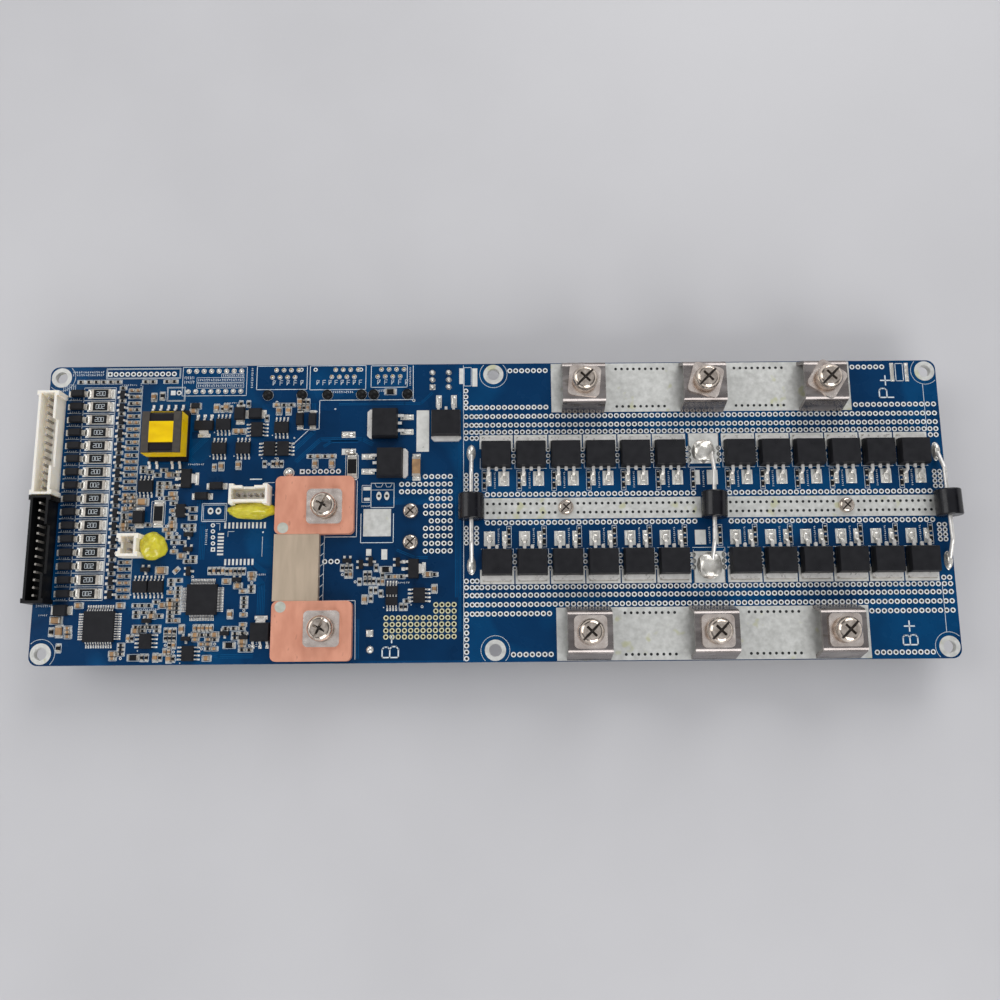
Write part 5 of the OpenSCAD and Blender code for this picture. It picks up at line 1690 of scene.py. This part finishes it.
@dataclass
class Underside:
    """Print of the board's lower face, and the joints that show on it."""

    board: BoardPrint
    tracks: int = 12
    rings: int = 60
    strokes: int = 18

    def build(self) -> None:
        """Puts joints, tracks and ink below the board."""
        p = self.board
        for node in ("surge_diode_left", "surge_diode_right"):
            low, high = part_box(node)
            x = (low[0] + high[0]) / 2
            if not SINK_BOX[0][0] <= x <= SINK_BOX[1][0]:
                for y in (-17.4, 19.4):
                    p["low_solder"].put(DOME, x / MM, y, 2.6, 2.6, 1.4)
        for k in range(BalanceChannels.rows):
            y = BalanceChannels.first_y - BalanceChannels.pitch * k
            p["low_track"].path([(-143.0, y), (-124.0, y), (-118.0, y - 4.0)], 0.5)
        for k in range(self.tracks):
            x, top = -114.0 + 3.1 * k, 38.0 - 1.6 * k
            p["low_track"].path([(x, k - 46.0), (x, top), (x - 6.0, top + 6.0)], 0.4)
        for k in range(self.rings):
            x, y = (k * 37) % 101 - 140.0, (k * 23) % 87 - 44.0
            p["low_rings"].put(RING, x, y, 0.9, 0.9, PAD)
            p["low_drills"].put(DISC, x, y, 0.45, 0.45, 0.012)
        for x0, x1, y in ((-142.0, -126.0, -46.0), (-100.0, -88.0, -46.7),
                          (-60.0, -48.0, -46.0)):
            for k in range(self.strokes):
                x, tall = x0 + (x1 - x0) * k / (self.strokes - 1), (0.6, 0.9, 0.7, 1.0)[k % 4]
                p["low_silk"].put(BLOCK, x, y, 0.16, tall, PRINT)


# ---------------------------------------------------------------- surroundings


@dataclass
class Studio:
    """Pale floor, soft lamps and a camera above the board's lower long edge.

    The camera's distance and offsets are in millimetres, its lean and turn in degrees.
    A lamp has a name, a place in metres and watts; the sky has heights and colours.
    """

    distance: float = 309.06
    beside: float = 1.4
    before: float = 54.27
    lean: float = 10.48
    turn: float = -0.485
    lens: float = 34.2
    lamp_size: float = 0.9
    floor_reach: float = 8.0
    lamps: tuple[tuple[str, tuple[float, float, float], float], ...] = (
        ("key_lamp", (0.45, 1.25, 0.95), 11.0), ("fill_lamp", (-1.1, 0.35, 1.0), 6.0),
        ("front_lamp", (0.35, -1.2, 0.8), 11.5))
    sky: tuple[tuple[float, str], ...] = ((0.40, "#E2E3E6"), (0.52, "#45474B"),
                                          (0.70, "#4C4E52"), (0.84, "#A6A8AC"))

    def build(self) -> None:
        """Makes the floor, the light and the camera."""
        self.floor()
        for lamp in self.lamps:
            self.hang(*lamp)
        self.light_room()
        self.camera()

    def floor(self) -> None:
        """Puts a wide pale table top under the heatsink."""
        low = CAD_BOX[0][2]
        bm = bmesh.new()
        bmesh.ops.create_grid(bm, x_segments=1, y_segments=1, size=self.floor_reach,
                              matrix=Matrix.Translation((0, 0, low)))
        mesh = bpy.data.meshes.new("table_top")
        bm.to_mesh(mesh)
        bm.free()
        finish = Finish("lacquered_table", "#C9C8CA", "#C4C3C5", 0.45, patch=60.0, grain=6.0,
                        spread=0.03)
        mesh.materials.append(finish.material())
        table = bpy.data.objects.new("table_top", mesh)
        bpy.context.collection.objects.link(table)

    def hang(self, name: str, place: tuple[float, float, float], watts: float) -> None:
        """Hangs one square lamp that faces the board's centre.

        Args:
            name: The lamp's name.
            place: Where it hangs.
            watts: Its power.
        """
        data = bpy.data.lights.new(name, "AREA")
        data.size = self.lamp_size
        data.energy = watts
        lamp = bpy.data.objects.new(name, data)
        lamp.location = place
        lamp.rotation_euler = Vector(place).to_track_quat("Z", "Y").to_euler()
        bpy.context.collection.objects.link(lamp)

    def light_room(self) -> None:
        """Sets a graded sky, pale at the horizon and overhead and dark between."""
        world = bpy.data.worlds.new("room")
        bpy.context.scene.world = world
        world.use_nodes = True
        tree = world.node_tree
        place = add_node(tree, "ShaderNodeTexCoord")
        axes = add_node(tree, "ShaderNodeSeparateXYZ", links={0: place.outputs["Generated"]})
        sky = add_node(tree, "ShaderNodeValToRGB", links={0: axes.outputs["Z"]})
        stops = sky.color_ramp.elements
        stops[0].position, stops[0].color = 0.02, linear("#ECEDF0")
        stops[1].position, stops[1].color = 0.98, linear("#B6B8BC")
        for height, code in self.sky:
            stops.new(height).color = linear(code)
        tree.links.new(sky.outputs[0], tree.nodes["Background"].inputs[0])
        tree.nodes["Background"].inputs[1].default_value = 1.0

    def camera(self) -> None:
        """Puts the camera where the board's four corners are seen from."""
        data = bpy.data.cameras.new("camera")
        data.lens = self.lens
        data.sensor_width = 36.0
        data.clip_start = 0.01
        camera = bpy.data.objects.new("camera", data)
        place = Matrix.Translation((self.beside * MM, -self.before * MM,
                                    (BOARD_TOP + self.distance) * MM))
        tilt = Matrix.Rotation(math.radians(self.lean), 4, "X")
        roll = Matrix.Rotation(math.radians(self.turn), 4, "Z")
        camera.matrix_world = place @ roll @ tilt
        bpy.context.collection.objects.link(camera)
        bpy.context.scene.camera = camera


def dress_frame() -> None:
    """Gives every node of the frame its finish."""
    for finish, names in NODE_GROUPS.items():
        for name in names.split():
            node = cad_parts[name]
            node.data.materials.clear()
            node.data.materials.append(finish.material())
            LOG.info("%s: %s", name, finish.name)


def main() -> None:
    """Builds the looks in order."""
    logging.basicConfig(level=logging.INFO, format="%(message)s")
    bpy.context.scene.view_settings.view_transform = "Standard"
    dress_frame()
    shared = BoardPrint()
    PowerSection(shared).build()
    ControlPrint(shared).build()
    BalanceChannels(shared).build()
    SmallParts(shared, SINGLES, FIELDS).build()
    ChipLeads(shared).build()
    PinSolder(shared).build()
    ScrewHeads(shared).build()
    Underside(shared).build()
    shared.build()
    GlueBlob("two_pin_header_glue", -112.0, -11.9, 8.2, 8.6, 4.6).build()
    GlueBlob("five_pin_header_glue", -80.0, 0.0, 14.4, 5.4, 4.8).build()
    Studio().build()


if __name__ == "__main__":
    main()
